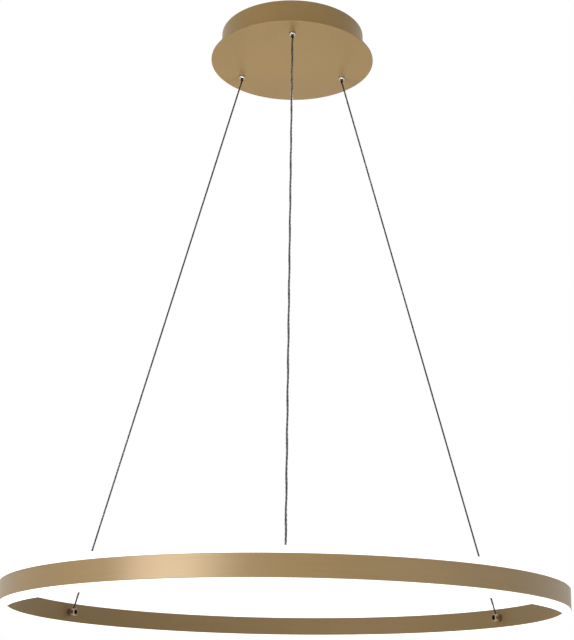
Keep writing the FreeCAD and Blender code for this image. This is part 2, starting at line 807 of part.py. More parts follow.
def release_spring(name, place):
    """The spring between cap and cage, one unbroken square wire wound as a helix."""
    low = size(PLATE_UNDER + " + plunger_top + running_gap + spring_wire / 2")
    high = size(PLATE_UNDER) + size(CAP_UNDER + " - running_gap - spring_wire / 2")
    radius = size("spring_radius")
    turns = size("spring_turns")
    helix = Part.makeHelix((high - low) / turns, high - low, radius)
    slope = math.atan2(high - low, 2 * math.pi * radius * turns)
    across = V(size("spring_wire") / 2, 0, 0)
    upward = V(0, -math.sin(slope), math.cos(slope)) * across.x
    middle = V(radius, 0, 0)
    section = Part.makePolygon([
        middle - across - upward, middle + across - upward, middle + across + upward,
        middle - across + upward, middle - across - upward])
    made = node(doc.addObject("Part::Feature", "release_spring_" + name), "release_spring_" + name)
    made.Shape = Part.Wire(helix).makePipeShell([section], True, True)
    about = FreeCAD.Rotation(Z_AXIS, suspension_angle(place))
    made.Placement = FreeCAD.Placement(about.multVec(V(size(GRIP_CIRCLE), 0, low)), about)


# ---------------------------------------------------------------- cables

def cable_tails():
    """The upright stretch of each cable inside its grip, and its end above the cap."""
    made = body("cable_tails")
    section = sketch(made, "section", "XY_Plane", ("0", "0", PLATE_UNDER + " + " + MOUTH))
    circle(section, GRIP_CIRCLE, "0", "cable_radius")
    top = "grip_shank_length + cap_flange_height + cable_tail_length"
    tail = pad(made, "tail", section, "%s - %s" % (top, MOUTH))
    around(made, "tails", [tail], "suspension_count")
    turn(made, suspension_angle(0))


def cable(name, place, radius):
    """The straight stretch from a plunger's mouth to the barrel on the ring.

    The round cable is cut level at its top, where the upright stretch begins, and at
    its end inside the barrel.
    """
    slant = math.radians(size(SLANT))
    along = V(math.sin(slant), 0, -math.cos(slant))
    mouth = V(size(GRIP_CIRCLE), 0, size(PLATE_UNDER + " + " + MOUTH))
    spare = size(radius) * math.tan(slant) * 2
    length = size(CABLE_DROP + " + cable_end_depth") / math.cos(slant)
    core = doc.addObject("Part::Cylinder", "cable_core_" + name)
    core.setExpression("Radius", cell(radius))
    core.Height = length + 2 * spare
    core.Placement = FreeCAD.Placement(mouth - along * spare, FreeCAD.Rotation(Z_AXIS, along))
    slab = doc.addObject("Part::Box", "cable_slab_" + name)
    slab.setExpression("Length", cell("2 * ring_radius"))
    slab.setExpression("Width", cell("ring_radius"))
    slab.setExpression("Height", cell(CABLE_DROP + " + cable_end_depth"))
    corner = V(0, -size("ring_radius") / 2, mouth.z - size(CABLE_DROP + " + cable_end_depth"))
    slab.Placement = FreeCAD.Placement(corner, FreeCAD.Rotation())
    made = node(doc.addObject("Part::Common", "cable_" + name), "cable_" + name)
    made.Base = core
    made.Tool = slab
    turn(made, suspension_angle(place))


# ---------------------------------------------------------------- ring

def ring_profile():
    """The extruded profile, rolled to a ring: two walls joined by two webs.

    The webs close a channel for the wiring, and the open space above and below them
    holds a light strip behind its diffuser.
    """
    made = body("ring_profile")
    section = sketch(made, "section", "XZ_Plane", ("0", RING_MIDDLE, "0"))
    top = "(band_height / 2)"
    bottom = "(0 - band_height / 2)"
    outline(section, (
        (INNER_FACE, bottom),
        (INNER_FACE, top),
        (CHANNEL_INSIDE, top),
        (CHANNEL_INSIDE, WEB_TOP),
        (CHANNEL_OUTSIDE, WEB_TOP),
        (CHANNEL_OUTSIDE, top),
        ("ring_radius", top),
        ("ring_radius", bottom),
        (CHANNEL_OUTSIDE, bottom),
        (CHANNEL_OUTSIDE, "0 - " + WEB_TOP),
        (CHANNEL_INSIDE, "0 - " + WEB_TOP),
        (CHANNEL_INSIDE, bottom),
    ))
    outline(section, (
        (CHANNEL_INSIDE, "0 - channel_height / 2"),
        (CHANNEL_INSIDE, "channel_height / 2"),
        (CHANNEL_OUTSIDE, "channel_height / 2"),
        (CHANNEL_OUTSIDE, "0 - channel_height / 2"),
    ))
    revolve(made, "rolled", section)
    middle = size(RING_MIDDLE)
    for name, place in SUSPENSIONS:
        start = radial(place, INNER_FACE + " - profile_wall", middle)
        outward = radial(place, "1", 0)
        solid_of(made, "SubtractiveCylinder", "stud_hole_" + name, start, outward,
                 Radius="barrel_stud_radius + hole_clearance", Height="3 * profile_wall")
        if name == "front":
            start = radial(place, CHANNEL_CENTRE, middle - size(STRIP_TOP))
            solid_of(made, "SubtractiveCylinder", "feed_holes", start, Z_AXIS,
                     Radius="feed_hole_radius", Height="2 * " + STRIP_TOP)


def diffuser(name, side):
    """An opal cover of U section that stands proud of the band and clips between its walls."""
    made = body(name)
    section = sketch(made, "section", "XZ_Plane", ("0", RING_MIDDLE, "0"))
    low_x = "(%s + fit_gap)" % CHANNEL_INSIDE
    high_x = "(%s - fit_gap)" % CHANNEL_OUTSIDE
    foot = "%s(%s + foot_gap)" % (side, WEB_TOP)
    top = "%s%s" % (side, DIFFUSER_TOP)
    shoulder = "%s(%s - diffuser_chamfer)" % (side, DIFFUSER_TOP)
    under = "%s(%s - diffuser_wall)" % (side, DIFFUSER_TOP)
    outline(section, (
        (low_x, foot),
        (low_x, shoulder),
        (low_x + " + diffuser_chamfer", top),
        (high_x + " - diffuser_chamfer", top),
        (high_x, shoulder),
        (high_x, foot),
        (high_x + " - diffuser_wall", foot),
        (high_x + " - diffuser_wall", under),
        (low_x + " + diffuser_wall", under),
        (low_x + " + diffuser_wall", foot),
    ))
    revolve(made, "formed", section)


def led_strip(name, side):
    """Curved circuit boards on a web, end to end, with a gap for the feed at each joint."""
    made = body(name)
    section = sketch(made, "section", "XZ_Plane", ("0", RING_MIDDLE, "0"))
    rectangle(section, CHANNEL_CENTRE, "%s(%s / 2 + %s / 2)" % (side, WEB_TOP, STRIP_TOP),
              "strip_width", "strip_thickness")
    board = revolve(made, "board", section)
    board.setExpression("Angle", cell(
        "360 / strip_parts - strip_joint_gap / (2 * pi * %s) * 360" % CHANNEL_CENTRE))
    board.Midplane = True
    around(made, "boards", [board], "strip_parts")
    turn(made, 180.0 / size("strip_parts"))


def led_chips(name, level):
    """The light-emitting packages, evenly spaced on a strip."""
    made = body(name)
    place = sketch(made, "place", "XY_Plane", ("0", "0", RING_MIDDLE + " + " + level))
    rectangle(place, CHANNEL_CENTRE, "0", "chip_width", "chip_length")
    chip = pad(made, "chip", place, "chip_height")
    around(made, "chips", [chip], "chip_count")
    turn(made, 180.0 / size("chip_count"))


def ring_grip_barrels():
    """The barrels on the ring's inner wall: cross-drilled for the cable, with a hollow stud."""
    made = body("ring_grip_barrels")
    profile = sketch(made, "half", "XZ_Plane", ("0", RING_MIDDLE, "0"))
    tapped = "(clamp_screw_radius + thread_gap)"
    stud_end = "(%s + barrel_stud_length)" % INNER_FACE
    seated = "(%s - running_gap)" % INNER_FACE
    outline(profile, (
        (BARREL_END, tapped),
        (BARREL_END, "barrel_radius - barrel_edge_chamfer"),
        (BARREL_END + " + barrel_edge_chamfer", "barrel_radius"),
        (seated, "barrel_radius"),
        (seated, "barrel_stud_radius"),
        (stud_end, "barrel_stud_radius"),
        (stud_end, "stud_bore_radius"),
        (CABLE_SEAT, "stud_bore_radius"),
        (CABLE_SEAT, tapped),
    ))
    turned = revolve(made, "turned", profile, "H_Axis")
    around(made, "barrels", [turned], "suspension_count")
    slant = math.radians(size(SLANT))
    start = 2 * size("barrel_radius")
    seat = size(CABLE_SEAT)
    middle = size(RING_MIDDLE)
    for name, place in SUSPENSIONS:
        angle = math.radians(360.0 / size("suspension_count") * place)
        outward = V(math.cos(angle), math.sin(angle), 0)
        along = outward * math.sin(slant) - Z_AXIS * math.cos(slant)
        solid_of(made, "SubtractiveCylinder", "cable_hole_" + name,
                 outward * seat + Z_AXIS * middle - along * start, along,
                 Radius="cross_hole_radius",
                 Height="2 * barrel_radius + cable_end_depth + cross_hole_radius")
    turn(made, suspension_angle(0))


def clamp_screws():
    """The socket screws in the barrels' ends, each with a narrow point on the cable."""
    made = body("clamp_screws")
    profile = sketch(made, "half", "XZ_Plane", ("0", RING_MIDDLE, "0"))
    head = "(%s + clamp_screw_recess)" % BARREL_END
    point = "(%s - (power_cable_radius + cable_gap) / cos(%s) - clamp_point_radius * tan(%s))" % (
        CABLE_SEAT, SLANT, SLANT)
    outline(profile, (
        (head, "0"),
        (head, "clamp_screw_radius"),
        (point + " - clamp_point_length", "clamp_screw_radius"),
        (point + " - clamp_point_length", "clamp_point_radius"),
        (point, "clamp_point_radius"),
        (point, "0"),
    ))
    turned = revolve(made, "turned", profile, "H_Axis")
    socket = sketch(made, "socket", "YZ_Plane", ("0", RING_MIDDLE, head))
    hexagon(socket, "0", "0", "hex_socket_flats")
    pocket = cut_through(made, "socket_cut", socket, "2 * hex_socket_depth")
    around(made, "screws", [turned, pocket], "suspension_count")
    turn(made, suspension_angle(0))


def ring_nut_plates():
    """Threaded plates in the wiring channel, one behind each barrel."""
    made = body("ring_nut_plates")
    face = sketch(made, "face", "YZ_Plane", ("0", RING_MIDDLE, CHANNEL_INSIDE))
    rectangle(face, "0", "0", "nut_plate_length", "nut_plate_height")
    circle(face, "0", "0", "barrel_stud_radius + thread_gap")
    plate = pad(made, "plate", face, "nut_plate_thickness")
    around(made, "plates", [plate], "suspension_count")
    turn(made, suspension_angle(0))


def ring_feed_lead():
    """The feed from the front cable, through the hollow stud and up and down to the strips."""
    start = size("%s + cross_hole_radius / cos(%s) + feed_lead_radius * tan(%s) + running_gap" % (
        CABLE_SEAT, SLANT, SLANT))
    centre = size(CHANNEL_CENTRE)
    middle = size(RING_MIDDLE)
    across = doc.addObject("Part::Cylinder", "feed_across")
    across.setExpression("Radius", cell("feed_lead_radius"))
    across.Height = centre - start
    across.Placement = FreeCAD.Placement(V(start, 0, middle), FreeCAD.Rotation(Z_AXIS, V(1, 0, 0)))
    upright = doc.addObject("Part::Cylinder", "feed_upright")
    upright.setExpression("Radius", cell("feed_lead_radius"))
    upright.setExpression("Height", cell("2 * " + STRIP_TOP))
    upright.Placement = FreeCAD.Placement(V(centre, 0, middle - size(STRIP_TOP)), FreeCAD.Rotation())
    made = node(doc.addObject("Part::Fuse", "ring_feed_lead"), "ring_feed_lead")
    made.Base = across
    made.Tool = upright
    turn(made, suspension_angle(2))


# ---------------------------------------------------------------- the whole chandelier

def build():
    ceiling_bracket()
    canopy_cup()
    canopy_plate()
    plate_studs()
    plate_nuts()
    side_screws()
    driver_case()
    driver_lid()
    terminal_block()
    terminal_screws()
    wiring()
    upper_grip_bodies()
    grip_lock_nuts()
    grip_caps()
    cable_tails()
    for name, place in SUSPENSIONS:
        plunger(name, place)
        clamp_balls(name, place)
        release_spring(name, place)
        cable(name, place, "power_cable_radius" if name == "front" else "cable_radius")
    ring_profile()
    diffuser("upper_diffuser", "")
    diffuser("lower_diffuser", "0 - ")
    led_strip("upper_led_strip", "")
    led_strip("lower_led_strip", "0 - ")
    led_chips("upper_led_chips", STRIP_TOP)
    led_chips("lower_led_chips", "(0 - %s - chip_height)" % STRIP_TOP)
    ring_grip_barrels()
    clamp_screws()
    ring_nut_plates()
    ring_feed_lead()


def check_and_write():
    """Stops on a failed object or a broken solid, and writes each node to its file."""
    doc.recompute()
    for made in doc.Objects:
        if "Invalid" in made.State or "Error" in made.State:
            raise ValueError("%s failed: %s" % (made.Name, made.State))
    for made in nodes:
        shape = made.Shape
        if shape.isNull() or not shape.isValid() or not shape.Solids:
            raise ValueError(made.Label + " is not a sound solid")
    os.makedirs("parts", exist_ok=True)
    for made in nodes:
        made.Shape.exportStep(os.path.join("parts", made.Label + ".step"))
        print("%-24s %2d solid(s) %12.2f mm3" % (
            made.Label, len(made.Shape.Solids), made.Shape.Volume))


build()
check_and_write()
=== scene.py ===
import math

import bmesh
import bpy
import numpy as np
from bpy.props import FloatProperty, FloatVectorProperty, IntProperty, PointerProperty
from mathutils import Matrix, Vector


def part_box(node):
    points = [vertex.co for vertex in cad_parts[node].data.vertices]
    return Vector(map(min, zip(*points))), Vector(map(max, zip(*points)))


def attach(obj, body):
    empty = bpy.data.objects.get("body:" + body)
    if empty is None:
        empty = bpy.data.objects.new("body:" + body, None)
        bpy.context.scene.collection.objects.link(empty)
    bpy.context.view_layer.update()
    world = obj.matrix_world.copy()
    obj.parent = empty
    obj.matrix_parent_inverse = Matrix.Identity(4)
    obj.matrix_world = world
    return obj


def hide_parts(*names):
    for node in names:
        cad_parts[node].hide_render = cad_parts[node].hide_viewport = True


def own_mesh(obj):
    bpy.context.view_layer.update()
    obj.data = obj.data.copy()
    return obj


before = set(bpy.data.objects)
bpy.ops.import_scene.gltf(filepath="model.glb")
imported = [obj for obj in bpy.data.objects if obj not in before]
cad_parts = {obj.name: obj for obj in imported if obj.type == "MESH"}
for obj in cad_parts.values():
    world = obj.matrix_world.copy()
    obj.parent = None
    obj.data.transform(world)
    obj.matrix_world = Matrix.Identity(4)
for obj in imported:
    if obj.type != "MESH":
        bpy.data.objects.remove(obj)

bl_info = {
    "name": "Ring light finishes",
    "version": (1, 0, 0),
    "blender": (4, 5, 0),
    "location": "View3D > Sidebar > Ring light",
    "description": "Dresses the ring light's frame with its fine pieces and finishes",
    "category": "Add Mesh",
}

MM = 0.001
SUSPENSIONS = (("right", 30.0), ("left", 150.0), ("front", 270.0))
CAP_LIFT = 11.5 * MM            # from the plate's underside up to a grip's cap
CABLE_SEAT = 6.5 * MM           # from the ring's inner wall in to a cable's hole
CABLE_DEPTH = 2.94 * MM         # how far down a cable goes into its hole
ASIDE = (0.31, 0.95, 0.02)      # a direction that no cable runs along

DEBURRED = 0.15 * MM            # rounding of an edge that is only deburred
SOFTENED = 0.2 * MM             # rounding of a cut or moulded edge
CORNER = 0.12 * MM              # rounding of the ring section's small corners
CUP_INSIDE = 0.5 * MM           # rounding inside the cup, above its flange
COIL_RADIUS = 2 * MM            # a release spring's middle radius
WIRE_RADIUS = 0.25 * MM         # a release spring's wire
COIL_GAP = 0.3 * MM             # room above and below a release spring
COIL_POINTS = 28                # points on a turn of a release spring
STRAND_POINTS = 13              # points on a turn of a rope's strand
CORE_STEP = 1.6 * MM            # between the points along a core
SLEEVE_STEP = 8 * MM            # between the points along a clear sleeve
PRESSED = 0.985                 # how close the wound strands lie, where 1 just touches
TOUCHING = 1.15                 # radii from the middle to each of three touching cores

SAME_POINT = 1e-7               # closer points of a new piece are one
SAME_CORNER = 2e-6              # closer corners of a frame node are one
SHARP = math.radians(32)        # a steeper fold of a frame node stays a crisp edge


# ---------------------------------------------------------------- places from the frame

def low(node):
    """The lowest corner of a frame node's box at rest."""
    return np.array(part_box(node)[0])


def high(node):
    """The highest corner of a frame node's box at rest."""
    return np.array(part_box(node)[1])


RING_RADIUS = float(high("ring_profile")[0])
RING_MIDDLE = float(low("ring_profile")[2] + high("ring_profile")[2]) / 2
BAND_HEIGHT = float(high("ring_profile")[2] - low("ring_profile")[2])
CUP_RADIUS = float(high("canopy_cup")[0])
PLATE_RADIUS = float(high("canopy_plate")[0])
PLATE_TOP = float(high("canopy_plate")[2])
PLATE_UNDER = float(low("canopy_plate")[2])
MOUTH = float(low("plunger_front")[2])
GRIP_CIRCLE = -float(low("plunger_front")[1] + high("plunger_front")[1]) / 2
CAP_UNDER = PLATE_UNDER + CAP_LIFT


# ---------------------------------------------------------------- what a user may change

class RingLightSizes(bpy.types.PropertyGroup):
    """Sizes of the fine pieces that the frame leaves plain."""

    profile_width: FloatProperty(
        name="Profile width", description="Width of the ring's metal section",
        default=11 * MM, unit="LENGTH")
    wall: FloatProperty(
        name="Profile wall", description="Thickness of the section's walls and webs",
        default=1.2 * MM, unit="LENGTH")
    channel: FloatProperty(
        name="Wiring channel", description="Height of the closed channel between the webs",
        default=6.4 * MM, unit="LENGTH")
    band_edge: FloatProperty(
        name="Band edge", description="Rounding of the metal band's edges",
        default=0.55 * MM, unit="LENGTH")
    diffuser_edge: FloatProperty(
        name="Diffuser edge", description="Rounding of the opal diffusers' shoulders",
        default=1.9 * MM, unit="LENGTH")
    diffuser_wall: FloatProperty(
        name="Diffuser wall", description="Thickness of the opal diffusers",
        default=1.0 * MM, unit="LENGTH")
    diffuser_gap: FloatProperty(
        name="Diffuser gap", description="Clearance beside a diffuser in its groove",
        default=0.1 * MM, unit="LENGTH")
    web_gap: FloatProperty(
        name="Web gap", description="Clearance between a diffuser's foot and the web",
        default=0.2 * MM, unit="LENGTH")
    cup_bend: FloatProperty(
        name="Cup bend", description="Outside radius where the cup's wall meets its flange",
        default=1.5 * MM, unit="LENGTH")
    cup_wall: FloatProperty(
        name="Cup wall", description="Thickness of the spun cup",
        default=1.0 * MM, unit="LENGTH")
    cup_flange: FloatProperty(
        name="Cup flange", description="Width of the cup's inward flange",
        default=10.0 * MM, unit="LENGTH")
    plate_edge: FloatProperty(
        name="Plate edge", description="Rounding of the canopy plate's rim",
        default=0.45 * MM, unit="LENGTH")
    rope: FloatProperty(
        name="Steel rope", description="Diameter of the two ropes with their thin sleeve",
        default=2.6 * MM, unit="LENGTH")
    rope_sleeve: FloatProperty(
        name="Rope sleeve", description="Thickness of the clear sleeve on the ropes",
        default=0.28 * MM, unit="LENGTH")
    rope_lay: FloatProperty(
        name="Rope lay", description="Length in which a strand goes once round",
        default=17 * MM, unit="LENGTH")
    sleeve: FloatProperty(
        name="Clear sleeve", description="Diameter of the front cable's clear sleeve",
        default=3.2 * MM, unit="LENGTH")
    sleeve_wall: FloatProperty(
        name="Sleeve wall", description="Thickness of the clear sleeve",
        default=0.45 * MM, unit="LENGTH")
    core_lay: FloatProperty(
        name="Core lay", description="Length in which the front cable's cores go once round",
        default=21 * MM, unit="LENGTH")
    core_share: FloatProperty(
        name="Core share", description="Radius of a core as a share of the sleeve's bore",
        default=0.38, subtype="FACTOR")
    wander: FloatProperty(
        name="Wander", description="How far the cores wander, as a share of the bore",
        default=0.2, subtype="FACTOR")
    wander_lay: FloatProperty(
        name="Wander lay", description="Core lays in which the cores wander once round",
        default=2.7)
    spring_turns: FloatProperty(
        name="Spring turns", description="Turns of each release spring", default=6.0)
    turned_steps: IntProperty(
        name="Steps round", description="Segments round the large turned pieces",
        default=360, min=48)


class RingLightColours(bpy.types.PropertyGroup):
    """Colours of the finishes, as linear values."""

    champagne: FloatVectorProperty(
        name="Champagne", description="Satin metal of ring and canopy",
        subtype="COLOR", default=(0.33, 0.205, 0.062), min=0, max=1)
    opal: FloatVectorProperty(
        name="Opal", description="Body colour of the diffusers",
        subtype="COLOR", default=(0.86, 0.85, 0.82), min=0, max=1)
    glow: FloatVectorProperty(
        name="Glow", description="Light that the diffusers give",
        subtype="COLOR", default=(1.0, 0.985, 0.955), min=0, max=1)
    nickel: FloatVectorProperty(
        name="Nickel", description="Bright plated fittings",
        subtype="COLOR", default=(0.46, 0.43, 0.42), min=0, max=1)
    # Painted shade and painted reflection: the rope wires are near black, far darker than drawn
    # steel, standing in for the shade between the strands and the dark surroundings that the
    # ropes reflect.
    rope: FloatVectorProperty(
        name="Rope steel", description="Drawn steel wires of the ropes",
        subtype="COLOR", default=(0.035, 0.031, 0.033), min=0, max=1)
    core: FloatVectorProperty(
        name="Core", description="Dark core inside the clear sleeve",
        subtype="COLOR", default=(0.022, 0.019, 0.021), min=0, max=1)
    background: FloatVectorProperty(
        name="Background", description="What the camera and reflections see behind",
        subtype="COLOR", default=(1.0, 1.0, 1.0), min=0, max=1)


class RingLightStage(bpy.types.PropertyGroup):
    """Camera and lights."""

    camera_distance: FloatProperty(
        name="Distance", description="How far in front of the ring's axis the camera stands",
        default=1.9533, unit="LENGTH")
    camera_level: FloatProperty(
        name="Level", description="The camera's height in the frame",
        default=-1.09375, unit="LENGTH")
    camera_pitch: FloatProperty(
        name="Pitch", description="How far the camera looks up",
        default=0.23745, subtype="ANGLE")
    camera_roll: FloatProperty(
        name="Roll", description="How far the camera leans to its left",
        default=0.01351, subtype="ANGLE")
    camera_lens: FloatProperty(
        name="Lens", description="Focal length on a 36 mm sensor", default=76.8161,
        unit="CAMERA")
    shift_x: FloatProperty(name="Shift X", description="Lens shift across", default=-0.00043)
    shift_y: FloatProperty(name="Shift Y", description="Lens shift up", default=0.15625)
    floor_level: FloatProperty(
        name="Floor", description="The floor's height in the frame",
        default=-1.9, unit="LENGTH")
    floor_reach: FloatProperty(
        name="Floor reach", description="From the ring's axis to the floor's edges",
        default=7.0, unit="LENGTH")
    ambient: FloatProperty(
        name="Ambient", description="Strength of the even light from all round", default=0.2)


# ---------------------------------------------------------------- surfaces

def rounded(corners, radii, steps=5):
    """A closed outline whose corners are rounded, with a mark of 1 on each rounding.

    A corner's arc runs between the two points that lie radius / tan(half angle) from it
    along its sides, on the circle through them that touches both sides. A point a little
    beyond each end of the arc keeps the flats flat when the surface is shaded smooth.
    """
    corners = np.asarray(corners, float)
    radii = np.broadcast_to(np.asarray(radii, float), len(corners))[:, None]
    back = np.roll(corners, 1, 0) - corners
    ahead = np.roll(corners, -1, 0) - corners
    back /= np.linalg.norm(back, axis=1, keepdims=True)
    ahead /= np.linalg.norm(ahead, axis=1, keepdims=True)
    half = np.arccos(np.clip((back * ahead).sum(1, keepdims=True), -1, 1)) / 2
    reach = radii / np.tan(half)
    bisector = back + ahead
    bisector /= np.linalg.norm(bisector, axis=1, keepdims=True)
    centre = corners + bisector * radii / np.sin(half)
    start = corners + back * reach - centre
    end = corners + ahead * reach - centre
    sweep = (math.pi - 2 * half)[:, None, :]
    along = np.linspace(0, 1, steps)[None, :, None]
    arc = centre[:, None] + (np.sin((1 - along) * sweep) * start[:, None]
                             + np.sin(along * sweep) * end[:, None]) / np.sin(sweep)
    spare = reach * 1.15 + 0.02 * MM
    before = (corners + back * spare)[:, None]
    after = (corners + ahead * spare)[:, None]
    outline = np.concatenate([before, arc, after], 1).reshape(-1, 2)
    mark = np.zeros((len(corners), steps + 2))
    mark[:, 1:-1] = 1
    return outline, mark.ravel()


def turned(outline, steps):
    """A grid of the outline's (radius, height) points turned once about the Z axis.

    Point (i, j) is (r_j cos a_i, r_j sin a_i, z_j), with a_i in equal steps.
    """
    angle = np.arange(steps) * 2 * math.pi / steps
    radius, height = outline[:, 0], outline[:, 1]
    return np.stack([np.cos(angle)[:, None] * radius, np.sin(angle)[:, None] * radius,
                     np.broadcast_to(height, (steps, len(height)))], 2)


def lengths(line):
    """The length along a line up to each of its points."""
    gaps = np.linalg.norm(np.diff(line, axis=0), axis=1)
    return np.concatenate([[0], np.cumsum(gaps)])


def even(line, step):
    """The same line with its points at even steps of its length."""
    length = lengths(line)
    stops = np.linspace(0, length[-1], int(math.ceil(length[-1] / step)) + 1)
    return np.stack([np.interp(stops, length, line[:, k]) for k in range(3)], 1)


def axes(line, side):
    """Two unit directions square to a line, at each of its points.

    The first is the line's direction crossed with the side direction, and the second is
    the line's direction crossed with the first.
    """
    ahead = np.gradient(line, axis=0)
    ahead /= np.linalg.norm(ahead, axis=1, keepdims=True)
    first = np.cross(ahead, side)
    first /= np.linalg.norm(first, axis=1, keepdims=True)
    return first, np.cross(ahead, first)


def ring_of(radius, sides):
    """The points of a circle, as a closed section."""
    angle = np.arange(sides) * 2 * math.pi / sides
    return np.stack([np.cos(angle), np.sin(angle)], 1) * radius


def carried(section, line, side=ASIDE):
    """A grid of a closed section's points carried along a line, square to it.

    Point (i, j) is line_i + u_j first_i + v_j second_i, for a section's points (u, v).
    """
    first, second = axes(line, side)
    return (line[:, None] + section[None, :, :1] * first[:, None]
            + section[None, :, 1:] * second[:, None])


def wound(line, radius, lay, start):
    """A line that winds round another one.

    The point at length s is the line's point plus a side step of the given radius, turned
    by start + 2 pi s / lay about the line's direction.
    """
    first, second = axes(line, ASIDE)
    turn = start + lengths(line) * 2 * math.pi / lay
    return line + radius * (np.cos(turn)[:, None] * first + np.sin(turn)[:, None] * second)


class Shell:
    """Faces gathered from grids, which become one mesh."""

    def __init__(self, inner=0.0):
        """Points nearer to the Z axis than inner get a mark of 1 for a wall that faces in."""
        self.points, self.faces, self.maps, self.marks = [], [], [], []
        self.count = 0
        self.inner = inner

    def grid(self, points, mark=None, wrap=True, inward=False):
        """Adds a grid of quads, closed across, and closed along where wrap is set.

        Where it isn't, each end is closed by a fan to the middle of its section.
        """
        along, across = points.shape[:2]
        rows = np.arange(along if wrap else along - 1)
        columns = np.arange(across)
        i, j = (part.ravel() for part in np.meshgrid(rows, columns, indexing="ij"))
        corner_i = np.stack([i, i + 1, i + 1, i], 1)
        corner_j = np.stack([j, j, j + 1, j + 1], 1)
        faces = corner_i % along * across + corner_j % across
        maps = np.stack([corner_i / along, corner_j / across], 2)
        flat = points.reshape(-1, 3)
        marks = np.zeros(len(flat)) if mark is None else np.tile(mark, along)
        a, b, c, d = (flat[faces[:, k]] for k in range(4))
        volume = (a * (np.cross(b, c) + np.cross(c, d))).sum()
        if not wrap:
            ends = (points[0], points[-1])
            middles = np.array([end.mean(0) for end in ends])
            flat = np.concatenate([flat, middles])
            marks = np.concatenate([marks, [0, 0]])
            base = along * across
            ring = np.arange(across)
            near = np.stack([np.full(across, base), ring, (ring + 1) % across,
                             (ring + 1) % across], 1)
            far = np.stack([np.full(across, base + 1), (ring + 1) % across + base - across,
                            ring + base - across, ring + base - across], 1)
            faces = np.concatenate([faces, near, far])
            maps = np.concatenate([maps, np.zeros((2 * across, 4, 2))])
        if (volume < 0) != inward:
            faces, maps = faces[:, ::-1], maps[:, ::-1]
        self.points.append(flat)
        self.faces.append(faces + self.count)
        self.maps.append(maps)
        self.marks.append(marks)
        self.count += len(flat)
        return self

    def mesh(self, name):
        """The gathered faces as a smooth mesh, with its doubled points merged."""
        points = np.concatenate(self.points)
        faces = np.concatenate(self.faces)
        maps = np.concatenate(self.maps)
        made = bpy.data.meshes.new(name)
        made.vertices.add(len(points))
        made.vertices.foreach_set("co", points.astype(np.float32).ravel())
        made.loops.add(faces.size)
        made.loops.foreach_set("vertex_index", faces.astype(np.int32).ravel())
        made.polygons.add(len(faces))
        made.polygons.foreach_set("loop_start", np.arange(len(faces), dtype=np.int32) * 4)
        made.uv_layers.new(name="Surface").data.foreach_set("uv", maps.astype(np.float32).ravel())
        mark = made.attributes.new("edge", "FLOAT", "POINT")
        mark.data.foreach_set("value", np.concatenate(self.marks).astype(np.float32))
        inner = made.attributes.new("inner", "FLOAT", "POINT")
        depth = np.hypot(points[:, 0], points[:, 1])
        inner.data.foreach_set("value", (depth < self.inner).astype(np.float32))
        made.update()
        work = bmesh.new()
        work.from_mesh(made)
        bmesh.ops.remove_doubles(work, verts=work.verts, dist=SAME_POINT)
        work.to_mesh(made)
        work.free()
        made.shade_smooth()
        return made


def settle(name, mesh, body, paint, replaced=()):
    """Puts a mesh into the scene on its body, with its finish, in place of frame nodes."""
    made = bpy.data.objects.new(name, mesh)
    bpy.context.scene.collection.objects.link(made)
    made.data.materials.append(paint)
    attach(made, body)
    if replaced:
        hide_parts(*replaced)
    return made


def smooth_copy(node, body, paint):
    """A frame node's own shape with its points merged, shaded smooth up to crisp edges."""
    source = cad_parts[node].data
    points = np.empty(len(source.vertices) * 3, np.float32)
    source.vertices.foreach_get("co", points)
    corners = np.empty(len(source.loops), np.int32)
    source.loops.foreach_get("vertex_index", corners)
    mesh = bpy.data.meshes.new(node + "_surface")
    mesh.from_pydata(points.reshape(-1, 3), [], corners.reshape(-1, 3))
    work = bmesh.new()
    work.from_mesh(mesh)
    bmesh.ops.remove_doubles(work, verts=work.verts, dist=SAME_CORNER)
    bmesh.ops.dissolve_degenerate(work, edges=work.edges, dist=SAME_POINT)
    work.to_mesh(mesh)
    work.free()
    mesh.shade_smooth()
    mesh.set_sharp_from_angle(angle=SHARP)
    return settle(node + "_finished", mesh, body, paint, (node,))


def dress(node, paint):
    """Gives a frame node its finish and leaves its shape alone."""
    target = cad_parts[node]
    target.data.materials.clear()
    target.data.materials.append(paint)


# ---------------------------------------------------------------- shader tools

def feed(tree, node, values):
    """Sets a node's sockets to values, or joins them to other sockets."""
    for socket, value in values.items():
        if isinstance(value, bpy.types.NodeSocket):
            tree.links.new(value, node.inputs[socket])
        else:
            node.inputs[socket].default_value = value


def add_node(tree, kind, values=None, **settings):
    """A shader node with its settings made and its sockets fed."""
    made = tree.nodes.new("ShaderNode" + kind)
    for key, value in settings.items():
        setattr(made, key, value)
    feed(tree, made, values or {})
    return made


def group(name, inputs, outputs, fill):
    """A shader node group with the named sockets, built once."""
    if name in bpy.data.node_groups:
        return bpy.data.node_groups[name]
    tree = bpy.data.node_groups.new(name, "ShaderNodeTree")
    for label, kind, default in inputs:
        socket = tree.interface.new_socket(label, in_out="INPUT", socket_type=kind)
        if default is not None:
            socket.default_value = default
    for label, kind in outputs:
        tree.interface.new_socket(label, in_out="OUTPUT", socket_type=kind)
    entry = tree.nodes.new("NodeGroupInput")
    leave = tree.nodes.new("NodeGroupOutput")
    for label, socket in fill(tree, entry.outputs).items():
        tree.links.new(socket, leave.inputs[label])
    return tree


def grain_group():
    """Fine even grain of a blasted or painted metal, and slow cloudy patches."""
    def fill(tree, given):
        fine = add_node(tree, "TexNoise", {
            "Vector": given["Vector"], "Scale": given["Fine scale"], "Detail": 3.0})
        cloud = add_node(tree, "TexNoise", {
            "Vector": given["Vector"], "Scale": given["Cloud scale"], "Detail": 2.0})
        return {"Height": fine.outputs[0], "Cloud": cloud.outputs[0]}
    return group("Metal grain", (
        ("Vector", "NodeSocketVector", None), ("Fine scale", "NodeSocketFloat", 4000.0),
        ("Cloud scale", "NodeSocketFloat", 9.0)),
        (("Height", "NodeSocketFloat"), ("Cloud", "NodeSocketFloat")), fill)


